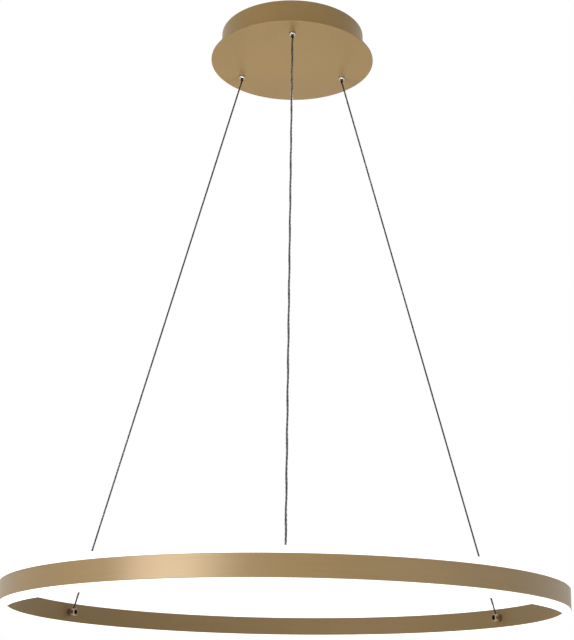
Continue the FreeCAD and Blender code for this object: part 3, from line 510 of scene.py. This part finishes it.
def lines_group():
    """Fine lines along one direction: noise stretched by a long scale across them."""
    def fill(tree, given):
        stretched = add_node(tree, "VectorMath", {
            0: given["Vector"], 1: given["Stretch"]}, operation="MULTIPLY")
        noise = add_node(tree, "TexNoise", {
            "Vector": stretched.outputs[0], "Scale": 1.0, "Detail": 2.0})
        return {"Height": noise.outputs[0]}
    return group("Drawn lines", (
        ("Vector", "NodeSocketVector", None), ("Stretch", "NodeSocketVector", (1, 1, 1))),
        (("Height", "NodeSocketFloat"),), fill)


def tone_group():
    """A colour that shifts with a slow pattern and lightens along worn edges."""
    def fill(tree, given):
        patch = add_node(tree, "MapRange", {
            "Value": given["Cloud"], "From Min": 0.3, "From Max": 0.7,
            "To Min": 0.96, "To Max": 1.04})
        tinted = add_node(tree, "VectorMath", {
            0: given["Color"], "Scale": patch.outputs[0]}, operation="SCALE")
        worn = add_node(tree, "Math", {0: given["Edge"], 1: given["Wear"]}, operation="MULTIPLY")
        mixed = add_node(tree, "Mix", {
            "Factor": worn.outputs[0], "A": tinted.outputs[0], "B": given["Bare"]},
            data_type="VECTOR")
        return {"Color": mixed.outputs[1]}
    return group("Worn tone", (
        ("Color", "NodeSocketColor", (0.5, 0.5, 0.5, 1)),
        ("Bare", "NodeSocketColor", (0.8, 0.8, 0.8, 1)),
        ("Cloud", "NodeSocketFloat", 0.5), ("Edge", "NodeSocketFloat", 0.0),
        ("Wear", "NodeSocketFloat", 0.2)),
        (("Color", "NodeSocketColor"),), fill)


def begin(name, fine_scale, cloud_scale):
    """A new material: its tree, its shader, and the height and clouds of its grain."""
    made = bpy.data.materials.new(name)
    made.use_nodes = True
    tree = made.node_tree
    shader = next(item for item in tree.nodes if item.type == "BSDF_PRINCIPLED")
    place = add_node(tree, "TexCoord").outputs["Object"]
    grain = add_node(tree, "Group", {
        "Vector": place, "Fine scale": fine_scale, "Cloud scale": cloud_scale},
        node_tree=grain_group())
    return made, tree, shader, grain.outputs["Height"], grain.outputs["Cloud"]


def toned(tree, colour, bare, cloud, edge, wear):
    """A colour with slow patches that turns into the bare one where the edge value is high."""
    made = add_node(tree, "Group", {
        "Color": (*colour, 1), "Bare": (*bare, 1), "Cloud": cloud, "Edge": edge,
        "Wear": wear}, node_tree=tone_group())
    return made.outputs["Color"]


def marked(tree, name):
    """A mark that Shell keeps at each point."""
    return add_node(tree, "Attribute", attribute_name=name).outputs["Fac"]


def relief(tree, height, strength, depth=0.02 * MM, **under):
    """The normal of a bump of the given height, on top of another normal where one is given."""
    made = add_node(tree, "Bump", {
        "Height": height, "Strength": strength, "Distance": depth, **under})
    return made.outputs["Normal"]


def spread(tree, value, least, most):
    """A 0 to 1 pattern brought to a range."""
    made = add_node(tree, "MapRange", {
        "Value": value, "From Min": 0.3, "From Max": 0.7, "To Min": least, "To Max": most})
    return made.outputs[0]


FINISHES = {}


def finish(name, make, *details):
    """The finish of that name, made the first time that it is asked for."""
    if name not in FINISHES:
        FINISHES[name] = make(name, *details)
    return FINISHES[name]


def metal(name, colour, bare, rough, fine_scale, cloud_scale, grained=0.06, metallic=1.0):
    """A metal with fine grain, cloudy gloss and lighter edges."""
    made, tree, shader, height, cloud = begin(name, fine_scale, cloud_scale)
    feed(tree, shader, {
        "Base Color": toned(tree, colour, bare, cloud, marked(tree, "edge"), 0.25),
        "Roughness": spread(tree, cloud, *rough),
        "Normal": relief(tree, height, grained),
        "Metallic": metallic})
    return made


def plastic(name, colour, other):
    """A moulded plastic with a spark-eroded grain and slight unevenness of colour."""
    made, tree, shader, height, cloud = begin(name, 2500.0, 30.0)
    feed(tree, shader, {
        "Base Color": toned(tree, colour, other, cloud, cloud, 0.15),
        "Roughness": spread(tree, cloud, 0.35, 0.5),
        "Normal": relief(tree, height, 0.08, 0.03 * MM)})
    return made


def satin_paint(name, colour, bare, gloss, metallic, stretch=None):
    """A pearl paint over brushed metal: satin outside and duller on inner walls, where its colour
    is darkened as painted shade.

    The brushing runs round a turned piece by its surface map, or along Y where stretch
    gives the scales of the lines in object coordinates.
    """
    made, tree, shader, height, cloud = begin(name, 3500.0, 9.0)
    inner = marked(tree, "inner")
    tint = toned(tree, colour, bare, cloud, marked(tree, "edge"), 0.2)
    # Painted shade: the inner walls' colour is scaled down to 0.8, standing in for the shade that
    # falls on them.
    painted_inner_shade = add_node(tree, "MapRange", {"Value": inner, "To Min": 1.0, "To Max": 0.8})
    tinted_with_painted_shade = add_node(tree, "VectorMath", {
        0: tint, "Scale": painted_inner_shade.outputs[0]}, operation="SCALE")
    dull = add_node(tree, "Math", {
        0: inner, 1: 0.26, 2: spread(tree, cloud, 0.38, 0.44)}, operation="MULTIPLY_ADD")
    if stretch:
        where = add_node(tree, "TexCoord").outputs["Object"]
    else:
        where = add_node(tree, "UVMap", uv_map="Surface").outputs[0]
    lines = add_node(tree, "Group", {
        "Vector": where, "Stretch": stretch or (24, 700, 1)},
        node_tree=lines_group()).outputs["Height"]
    streak = add_node(tree, "VectorMath", {
        0: tinted_with_painted_shade.outputs[0], "Scale": spread(tree, lines, 0.97, 1.03)}, operation="SCALE")
    feed(tree, shader, {
        "Base Color": streak.outputs[0],
        "Roughness": dull.outputs[0],
        "Normal": relief(tree, lines, 0.05, Normal=relief(tree, height, 0.06)),
        "Metallic": metallic,
        "IOR": gloss})
    return made


def opal_finish(name, colour, glow):
    """Opal acrylic lit from inside, a little brighter in soft patches along the strip."""
    made, tree, shader, height, cloud = begin(name, 900.0, 40.0)
    feed(tree, shader, {
        "Base Color": toned(tree, colour, (0.8, 0.8, 0.8), cloud, 0.0, 0.0),
        "Emission Color": toned(tree, glow, (1, 1, 1), 0.5, cloud, 0.6),
        "Roughness": spread(tree, cloud, 0.3, 0.4),
        "Normal": relief(tree, height, 0.05),
        "Emission Strength": 1.0})
    return made


def clear_finish(name):
    """Clear flexible sleeve with a faint unevenness."""
    made, tree, shader, height, cloud = begin(name, 500.0, 60.0)
    feed(tree, shader, {
        "Base Color": (0.9, 0.885, 0.89, 1),
        "Roughness": spread(tree, cloud, 0.03, 0.1),
        "Normal": relief(tree, height, 0.04, 0.05 * MM),
        "Transmission Weight": 1.0,
        "IOR": 1.38})
    return made


def colours():
    """The colours that a user may change."""
    return bpy.context.scene.ring_light_colours


def sizes():
    """The sizes that a user may change."""
    return bpy.context.scene.ring_light_sizes


def champagne(name="Champagne satin", gloss=1.9, metallic=0.25, stretch=None):
    """The ring's and the canopy's champagne paint."""
    tint = tuple(colours().champagne)
    return finish(name, satin_paint, tint, tuple(min(1, part * 1.3) for part in tint),
                  gloss, metallic, stretch)


def nickel():
    """Bright plating of the upper grips."""
    return finish("Bright nickel", metal, tuple(colours().nickel), (0.8, 0.78, 0.75),
                  (0.10, 0.16), 2500.0, 120.0, 0.03)


def rope_wire_painted_shade():
    """Drawn wires of the ropes, whose near-black colour is painted shade."""
    tint = tuple(colours().rope)
    return finish("Drawn rope wire", metal, tint, tuple(part * 1.5 for part in tint),
                  (0.45, 0.55), 3000.0, 90.0, 0.1, 0.2)


def dark_core():
    """The front cable's dark core."""
    return finish("Dark cores", metal, tuple(colours().core), (0.12, 0.11, 0.11),
                  (0.45, 0.6), 2500.0, 150.0, 0.1, 0.2)


# Colour, worn edges, least and most roughness, scales of grain and clouds, relief of the
# grain, and how far it is a metal.
METALS = {
    # Painted shade: this nickel is darkened far below plating, standing in for the shade that the
    # plungers lie in under the grip heads.
    "Dark nickel": ((0.09, 0.08, 0.08), (0.3, 0.28, 0.27), (0.16, 0.24), 2500.0, 120.0, 0.03),
    "Warm nickel": ((0.33, 0.25, 0.165), (0.6, 0.5, 0.38), (0.3, 0.4), 2500.0, 120.0, 0.04),
    "Zinc plated steel": ((0.46, 0.47, 0.48), (0.62, 0.62, 0.6), (0.28, 0.42), 900.0, 70.0,
                          0.1),
    "Spring steel": ((0.32, 0.32, 0.33), (0.5, 0.5, 0.5), (0.2, 0.3), 1500.0, 200.0),
    "Blackened screw": ((0.03, 0.016, 0.009), (0.07, 0.042, 0.028), (0.45, 0.55), 1500.0,
                        150.0),
    "Tinned cores": ((0.15, 0.135, 0.13), (0.23, 0.205, 0.2), (0.4, 0.5), 2500.0, 150.0,
                     0.1, 0.2),
}

# Colour, and the colour of its paler or darker patches.
PLASTICS = {
    "White circuit board": ((0.78, 0.78, 0.75), (0.7, 0.69, 0.62)),
    "Light-emitting package": ((0.82, 0.66, 0.2), (0.9, 0.8, 0.4)),
    "Lead sheath": ((0.62, 0.6, 0.56), (0.5, 0.48, 0.45)),
    "Earth sheath": ((0.12, 0.42, 0.08), (0.75, 0.62, 0.05)),
    "Driver plastic": ((0.72, 0.72, 0.7), (0.62, 0.62, 0.6)),
    "Terminal plastic": ((0.68, 0.67, 0.6), (0.58, 0.56, 0.5)),
}


def stock(name):
    """A metal or plastic from the tables above."""
    if name in METALS:
        return finish(name, metal, *METALS[name])
    return finish(name, plastic, *PLASTICS[name])


# ---------------------------------------------------------------- the operators

class RINGLIGHT_OT_canopy(bpy.types.Operator):
    """Spun cup with a soft bend at its flange, and the round plate under it"""

    bl_idname = "ringlight.canopy"
    bl_label = "Canopy"

    def execute(self, context):
        size = sizes()
        inside = CUP_RADIUS - size.cup_wall
        flange = CUP_RADIUS - size.cup_flange
        top = PLATE_TOP + size.cup_wall
        cup = rounded(
            ((flange, PLATE_TOP), (CUP_RADIUS, PLATE_TOP), (CUP_RADIUS, 0), (inside, 0),
             (inside, top), (flange, top)),
            (SOFTENED, size.cup_bend, DEBURRED, DEBURRED, CUP_INSIDE, SOFTENED))
        mesh = Shell().grid(turned(cup[0], size.turned_steps), cup[1]).mesh("canopy_cup_surface")
        settle("canopy_cup_spun", mesh, "canopy",
               champagne("Champagne cup", 1.6, 0.35), ("canopy_cup",))
        rim = rounded(
            ((-PLATE_RADIUS, PLATE_UNDER), (PLATE_RADIUS, PLATE_UNDER),
             (PLATE_RADIUS, PLATE_TOP), (-PLATE_RADIUS, PLATE_TOP)), size.plate_edge)
        outer = rim[0][:, 0] > 0
        outline = np.concatenate([[[0, PLATE_UNDER]], rim[0][outer], [[0, PLATE_TOP]]])
        mark = np.concatenate([[0], rim[1][outer], [0]])
        mesh = Shell().grid(turned(outline, size.turned_steps), mark).mesh("plate_surface")
        settle("canopy_plate_disc", mesh, "canopy",
               champagne("Champagne plate", 1.6, 0.35, (1500, 14, 14)), ("canopy_plate",))
        return {"FINISHED"}


class RINGLIGHT_OT_grips(bpy.types.Operator):
    """Upper cable grips: plated housings, release nipples, balls, caps and springs"""

    bl_idname = "ringlight.grips"
    bl_label = "Upper grips"

    def spring(self, name, degrees):
        """A round wire wound in even turns between a plunger and its grip's cap."""
        turns = sizes().spring_turns
        angle = math.radians(degrees)
        foot = float(low("release_spring_" + name)[2])
        bottom = foot + COIL_GAP
        top = CAP_UNDER - COIL_GAP
        along = np.linspace(0, 1, int(turns * COIL_POINTS))
        turn = along * turns * 2 * math.pi
        coil = np.stack([
            GRIP_CIRCLE * math.cos(angle) + COIL_RADIUS * np.cos(turn),
            GRIP_CIRCLE * math.sin(angle) + COIL_RADIUS * np.sin(turn),
            bottom + (top - bottom) * along], 1)
        tube = carried(ring_of(WIRE_RADIUS, 10), coil, (0, 0, 1))
        mesh = Shell().grid(tube, wrap=False).mesh("spring_surface_" + name)
        made = settle("release_spring_wound_" + name, mesh, "canopy",
                      stock("Spring steel"), ("release_spring_" + name,))
        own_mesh(made)

    def execute(self, context):
        smooth_copy("upper_grip_bodies", "canopy", nickel())
        smooth_copy("grip_lock_nuts", "canopy", stock("Zinc plated steel"))
        smooth_copy("grip_caps", "canopy", stock("Zinc plated steel"))
        smooth_copy("cable_tails", "canopy", rope_wire_painted_shade())
        for name, degrees in SUSPENSIONS:
            body = "plunger_" + name
            # The plungers get the nickel that is darkened as painted shade.
            smooth_copy(body, body, stock("Dark nickel"))
            smooth_copy("clamp_balls_" + name, body, stock("Spring steel"))
            self.spring(name, degrees)
        return {"FINISHED"}


def nurbs_line(name, points):
    """The smooth line that a cord's control points give."""
    curve = bpy.data.curves.new(name, "CURVE")
    curve.dimensions = "3D"
    curve.resolution_u = 24
    spline = curve.splines.new("NURBS")
    spline.points.add(len(points) - 1)
    for stop, point in zip(spline.points, points):
        stop.co = (*point, 1)
    spline.order_u = 3
    spline.use_endpoint_u = True
    holder = bpy.data.objects.new(name, curve)
    mesh = bpy.data.meshes.new_from_object(holder)
    line = np.empty(len(mesh.vertices) * 3)
    mesh.vertices.foreach_get("co", line)
    bpy.data.objects.remove(holder)
    return line.reshape(-1, 3)


def cable_route(degrees, diameter):
    """Control points from a grip's mouth to the barrel, and down into its hole.

    The run is straight. A point six diameters from each end keeps it so.
    """
    angle = math.radians(degrees)
    seat = RING_RADIUS - sizes().profile_width - CABLE_SEAT
    out = np.array([math.cos(angle), math.sin(angle), 0])
    start = out * GRIP_CIRCLE + np.array([0, 0, MOUTH])
    end = out * seat + np.array([0, 0, RING_MIDDLE])
    ahead = (end - start) / np.linalg.norm(end - start)
    near = 6 * diameter
    last = end + ahead * (CABLE_DEPTH / -ahead[2])
    return np.array([start, start + ahead * near, end - ahead * near, end, last])


class RINGLIGHT_OT_cables(bpy.types.Operator):
    """Two steel ropes, and the front cable with twisted cores, each in a clear sleeve"""

    bl_idname = "ringlight.cables"
    bl_label = "Cables"

    def follow(self, piece):
        """Gives a cable piece a mesh of its own."""
        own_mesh(piece)

    def sleeve(self, kind, name, slot, route, diameter, sides, inside):
        """A clear sleeve along a route: the cord, with the pieces that run inside it."""
        tube = carried(ring_of(diameter / 2, sides), even(route, SLEEVE_STEP))
        mesh = Shell().grid(tube, wrap=False).mesh(kind + "surface_" + name)
        made = settle("cable_" + kind + name, mesh, "canopy",
                      finish("Clear sleeve", clear_finish), ("cable_" + name,))
        for piece in (made, *inside):
            self.follow(piece)

    def rope(self, name, degrees):
        """A rope of seven strands in a thin clear sleeve.

        One strand is straight in the middle and six are wound round it.
        """
        size = sizes()
        strand = (size.rope / 2 - size.rope_sleeve) / 3
        route = nurbs_line("route_" + name, cable_route(degrees, size.rope))
        line = even(route, size.rope_lay / STRAND_POINTS)
        shell = Shell()
        shell.grid(carried(ring_of(strand, 6), line), wrap=False)
        for index in range(6):
            path = wound(line, 2 * strand * PRESSED, size.rope_lay, index * math.pi / 3)
            shell.grid(carried(ring_of(strand, 7), path), wrap=False)
        strands = settle("cable_strands_" + name, shell.mesh("strand_surface_" + name),
                         "canopy", rope_wire_painted_shade())
        self.sleeve("rope_", name, "steel_cable", route, size.rope, 16, [strands])

    def power(self, name, degrees):
        """A dark core and two tinned ones wound round a line that wanders in a clear sleeve."""
        size = sizes()
        route = nurbs_line("route_" + name, cable_route(degrees, size.sleeve))
        line = even(route, CORE_STEP)
        bore = size.sleeve / 2 - size.sleeve_wall
        core = bore * size.core_share
        middle = wound(line, bore * size.wander, size.core_lay * size.wander_lay, 0.6)
        paths = [wound(middle, core * TOUCHING, size.core_lay, index * 2 * math.pi / 3)
                 for index in range(3)]
        cores = []
        for kind, lines, paint in (("cable_core_", paths[:1], dark_core()),
                                   ("cable_tinned_", paths[1:], stock("Tinned cores"))):
            shell = Shell()
            for path in lines:
                shell.grid(carried(ring_of(core, 9), path), wrap=False)
            cores.append(settle(kind + name, shell.mesh("surface_" + kind + name), "canopy",
                                paint))
        self.sleeve("sleeve_", name, "power_cable", route, size.sleeve, 20, cores)

    def execute(self, context):
        for name, degrees in SUSPENSIONS:
            if name == "front":
                self.power(name, degrees)
            else:
                self.rope(name, degrees)
        return {"FINISHED"}


class RINGLIGHT_OT_ring(bpy.types.Operator):
    """The ring's metal profile with rounded edges, and its two opal diffusers"""

    bl_idname = "ringlight.ring"
    bl_label = "Ring"

    def profile(self):
        """Two walls joined by two webs, and the closed channel between the webs."""
        size = sizes()
        inner = RING_RADIUS - size.profile_width
        left = inner + size.wall
        right = RING_RADIUS - size.wall
        top = BAND_HEIGHT / 2
        web = size.channel / 2 + size.wall
        edge = size.band_edge
        outline = rounded(
            ((inner, -top), (inner, top), (left, top), (left, web), (right, web), (right, top),
             (RING_RADIUS, top), (RING_RADIUS, -top), (right, -top), (right, -web),
             (left, -web), (left, -top)),
            (edge, edge, *(CORNER,) * 4, edge, edge, *(CORNER,) * 4))
        lift = np.array([0, RING_MIDDLE])
        shell = Shell(inner + size.wall / 2)
        shell.grid(turned(outline[0] + lift, size.turned_steps), outline[1])
        half = size.channel / 2
        channel = rounded(
            ((left, -half), (left, half), (right, half), (right, -half)), CORNER, 2)[0]
        shell.grid(turned(channel + lift, size.turned_steps), inward=True)
        settle("ring_band", shell.mesh("band_surface"), "ring",
               champagne(), ("ring_profile",))

    def diffuser(self, name, side):
        """A U section open towards the web, with rounded shoulders, turned round the axis."""
        size = sizes()
        left = RING_RADIUS - size.profile_width + size.wall + size.diffuser_gap
        right = RING_RADIUS - size.wall - size.diffuser_gap
        foot = size.channel / 2 + size.wall + size.web_gap
        reach = float(high("upper_diffuser")[2]) - RING_MIDDLE
        wall = size.diffuser_wall
        under = reach - wall
        edge = size.diffuser_edge
        inside = max(edge - wall, SOFTENED)
        outline = rounded(
            ((left, foot), (left, reach), (right, reach), (right, foot), (right - wall, foot),
             (right - wall, under), (left + wall, under), (left + wall, foot)),
            (DEBURRED, edge, edge, DEBURRED, DEBURRED, inside, inside, DEBURRED), 7)
        placed = outline[0] * [1, side] + [0, RING_MIDDLE]
        mesh = Shell().grid(turned(placed, size.turned_steps), outline[1]).mesh(name + "_surface")
        settle(name + "_opal", mesh, "ring",
               finish("Opal acrylic", opal_finish, tuple(colours().opal),
                      tuple(colours().glow)), (name,))

    def execute(self, context):
        self.profile()
        self.diffuser("upper_diffuser", 1)
        self.diffuser("lower_diffuser", -1)
        return {"FINISHED"}


class RINGLIGHT_OT_barrels(bpy.types.Operator):
    """Barrels on the ring's inner wall with their socket screws, and what is inside the ring"""

    bl_idname = "ringlight.barrels"
    bl_label = "Lower grips"

    def execute(self, context):
        smooth_copy("ring_grip_barrels", "ring", stock("Warm nickel"))
        smooth_copy("clamp_screws", "ring", stock("Blackened screw"))
        smooth_copy("ring_nut_plates", "ring", stock("Zinc plated steel"))
        smooth_copy("ring_feed_lead", "ring", stock("Lead sheath"))
        for side in ("upper", "lower"):
            dress(side + "_led_strip", stock("White circuit board"))
            dress(side + "_led_chips", stock("Light-emitting package"))
        return {"FINISHED"}


class RINGLIGHT_OT_inner(bpy.types.Operator):
    """Everything above the plate: bracket, fasteners, driver, terminal block and leads"""

    bl_idname = "ringlight.inner"
    bl_label = "Inside the canopy"

    def execute(self, context):
        for name in ("plate_studs", "plate_nuts", "side_screws", "ceiling_bracket",
                     "terminal_screws"):
            smooth_copy(name, "canopy", stock("Zinc plated steel"))
        for name in ("mains_leads", "output_lead"):
            smooth_copy(name, "canopy", stock("Lead sheath"))
        smooth_copy("earth_lead", "canopy", stock("Earth sheath"))
        for name in ("driver_case", "driver_lid"):
            dress(name, stock("Driver plastic"))
        dress("terminal_block", stock("Terminal plastic"))
        return {"FINISHED"}


# Each lamp's place, the point that it faces, width, height, watts and spread.
LAMPS = {
    "Left front window": ((-1.62, -1.98, -0.62), (-0.14, -0.37, -0.89), 1.4, 0.8, 23,
                          math.pi),
    "Low front fill": ((0.0, -2.4, -1.55), (0.0, 0.0, -0.8), 2.2, 0.5, 5, math.pi),
    "Right fill": ((1.9, -1.6, -0.7), (0.0, 0.0, -0.85), 1.2, 1.2, 1.5, math.pi),
    "Canopy light": ((0.0, -0.1, -1.85), (0.0, 0.0, 0.0), 0.5, 0.5, 0.85, 0.6),
}


class RINGLIGHT_OT_stage(bpy.types.Operator):
    """Pale floor, soft lights, white surround and the camera"""

    bl_idname = "ringlight.stage"
    bl_label = "Stage"

    def execute(self, context):
        stage = context.scene.ring_light_stage
        self.floor(stage)
        self.world(stage)
        for name, details in LAMPS.items():
            self.lamp(name, *details)
        self.camera(stage)
        return {"FINISHED"}

    def white(self, tree, plain):
        """White to camera, mirror and clear surfaces, and the given shader to the rest."""
        path = add_node(tree, "LightPath").outputs
        seen = add_node(tree, "Math", {
            0: path["Is Camera Ray"], 1: path["Is Glossy Ray"]}, operation="MAXIMUM")
        seen = add_node(tree, "Math", {
            0: seen.outputs[0], 1: path["Is Transmission Ray"]}, operation="MAXIMUM")
        kind = "Background" if plain.node.bl_idname.endswith("Background") else "Emission"
        glow = add_node(tree, kind, {"Color": (*colours().background, 1), "Strength": 1.0})
        return add_node(tree, "MixShader", {
            0: seen.outputs[0], 1: plain, 2: glow.outputs[0]}).outputs[0]

    def floor(self, stage):
        """A square floor well below the ring, see-through from underneath."""
        reach, level = stage.floor_reach, stage.floor_level
        mesh = bpy.data.meshes.new("floor")
        mesh.from_pydata([(-reach, -reach, level), (reach, -reach, level),
                          (reach, reach, level), (-reach, reach, level)], [], [(0, 1, 2, 3)])
        made = bpy.data.objects.new("floor", mesh)
        bpy.context.scene.collection.objects.link(made)
        paint = bpy.data.materials.new("Pale floor")
        paint.use_nodes = True
        tree = paint.node_tree
        tree.nodes.clear()
        plain = add_node(tree, "BsdfDiffuse", {"Color": (0.86, 0.86, 0.85, 1)})
        side = add_node(tree, "NewGeometry")
        clear = add_node(tree, "BsdfTransparent")
        open_below = add_node(tree, "MixShader", {
            0: side.outputs["Backfacing"], 1: self.white(tree, plain.outputs[0]),
            2: clear.outputs[0]})
        add_node(tree, "OutputMaterial", {"Surface": open_below.outputs[0]})
        mesh.materials.append(paint)

    def world(self, stage):
        """A weak even light from all round, white where it is seen."""
        world = bpy.data.worlds.new("Surround")
        bpy.context.scene.world = world
        world.use_nodes = True
        tree = world.node_tree
        tree.nodes.clear()
        plain = add_node(tree, "Background", {
            "Color": (1.0, 0.985, 0.97, 1), "Strength": stage.ambient})
        add_node(tree, "OutputWorld", {"Surface": self.white(tree, plain.outputs[0])})

    def lamp(self, name, place, target, width, height, power, opening):
        """A soft rectangular lamp that faces a point and doesn't show in clear pieces."""
        data = bpy.data.lights.new(name, "AREA")
        data.shape = "RECTANGLE"
        data.size = width
        data.size_y = height
        data.energy = power
        data.spread = opening
        made = bpy.data.objects.new(name, data)
        bpy.context.scene.collection.objects.link(made)
        made.visible_transmission = False
        made.location = place
        facing = Vector(target) - Vector(place)
        made.rotation_euler = facing.to_track_quat("-Z", "Y").to_euler()

    def camera(self, stage):
        """A camera in front of the ring and below it, looking up."""
        data = bpy.data.cameras.new("Camera")
        data.sensor_fit = "AUTO"
        data.sensor_width = 36.0
        data.lens = stage.camera_lens
        data.shift_x = stage.shift_x
        data.shift_y = stage.shift_y
        data.clip_start = 0.05
        made = bpy.data.objects.new("Camera", data)
        bpy.context.scene.collection.objects.link(made)
        made.location = (0, -stage.camera_distance, stage.camera_level)
        look = (Matrix.Rotation(math.pi / 2 + stage.camera_pitch, 3, "X")
                @ Matrix.Rotation(stage.camera_roll, 3, "Z"))
        made.rotation_euler = look.to_euler()
        bpy.context.scene.camera = made


OPERATORS = (RINGLIGHT_OT_canopy, RINGLIGHT_OT_grips, RINGLIGHT_OT_cables, RINGLIGHT_OT_ring,
             RINGLIGHT_OT_barrels, RINGLIGHT_OT_inner, RINGLIGHT_OT_stage)


class VIEW3D_PT_ring_light(bpy.types.Panel):
    """Lists the ring light's pieces in the sidebar"""

    bl_label = "Ring light"
    bl_space_type = "VIEW_3D"
    bl_region_type = "UI"
    bl_category = "Ring light"

    def draw(self, context):
        for operator in OPERATORS:
            self.layout.operator(operator.bl_idname)
        for holder in ("ring_light_sizes", "ring_light_colours", "ring_light_stage"):
            values = getattr(context.scene, holder)
            column = self.layout.column()
            for name in values.__annotations__:
                column.prop(values, name)


CLASSES = (RingLightSizes, RingLightColours, RingLightStage, *OPERATORS, VIEW3D_PT_ring_light)


def register():
    """Makes the settings, the operators and the panel known."""
    for item in CLASSES:
        bpy.utils.register_class(item)
    bpy.types.Scene.ring_light_sizes = PointerProperty(type=RingLightSizes)
    bpy.types.Scene.ring_light_colours = PointerProperty(type=RingLightColours)
    bpy.types.Scene.ring_light_stage = PointerProperty(type=RingLightStage)


def unregister():
    """Takes away what register made known."""
    del bpy.types.Scene.ring_light_stage
    del bpy.types.Scene.ring_light_colours
    del bpy.types.Scene.ring_light_sizes
    for item in reversed(CLASSES):
        bpy.utils.unregister_class(item)


def main():
    """Registers the add-on and runs each operator to dress the frame."""
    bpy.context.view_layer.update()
    register()
    bpy.context.scene.view_settings.view_transform = "Standard"
    for operator in OPERATORS:
        family, name = operator.bl_idname.split(".")
        getattr(getattr(bpy.ops, family), name)()


if __name__ == "__main__":
    main()
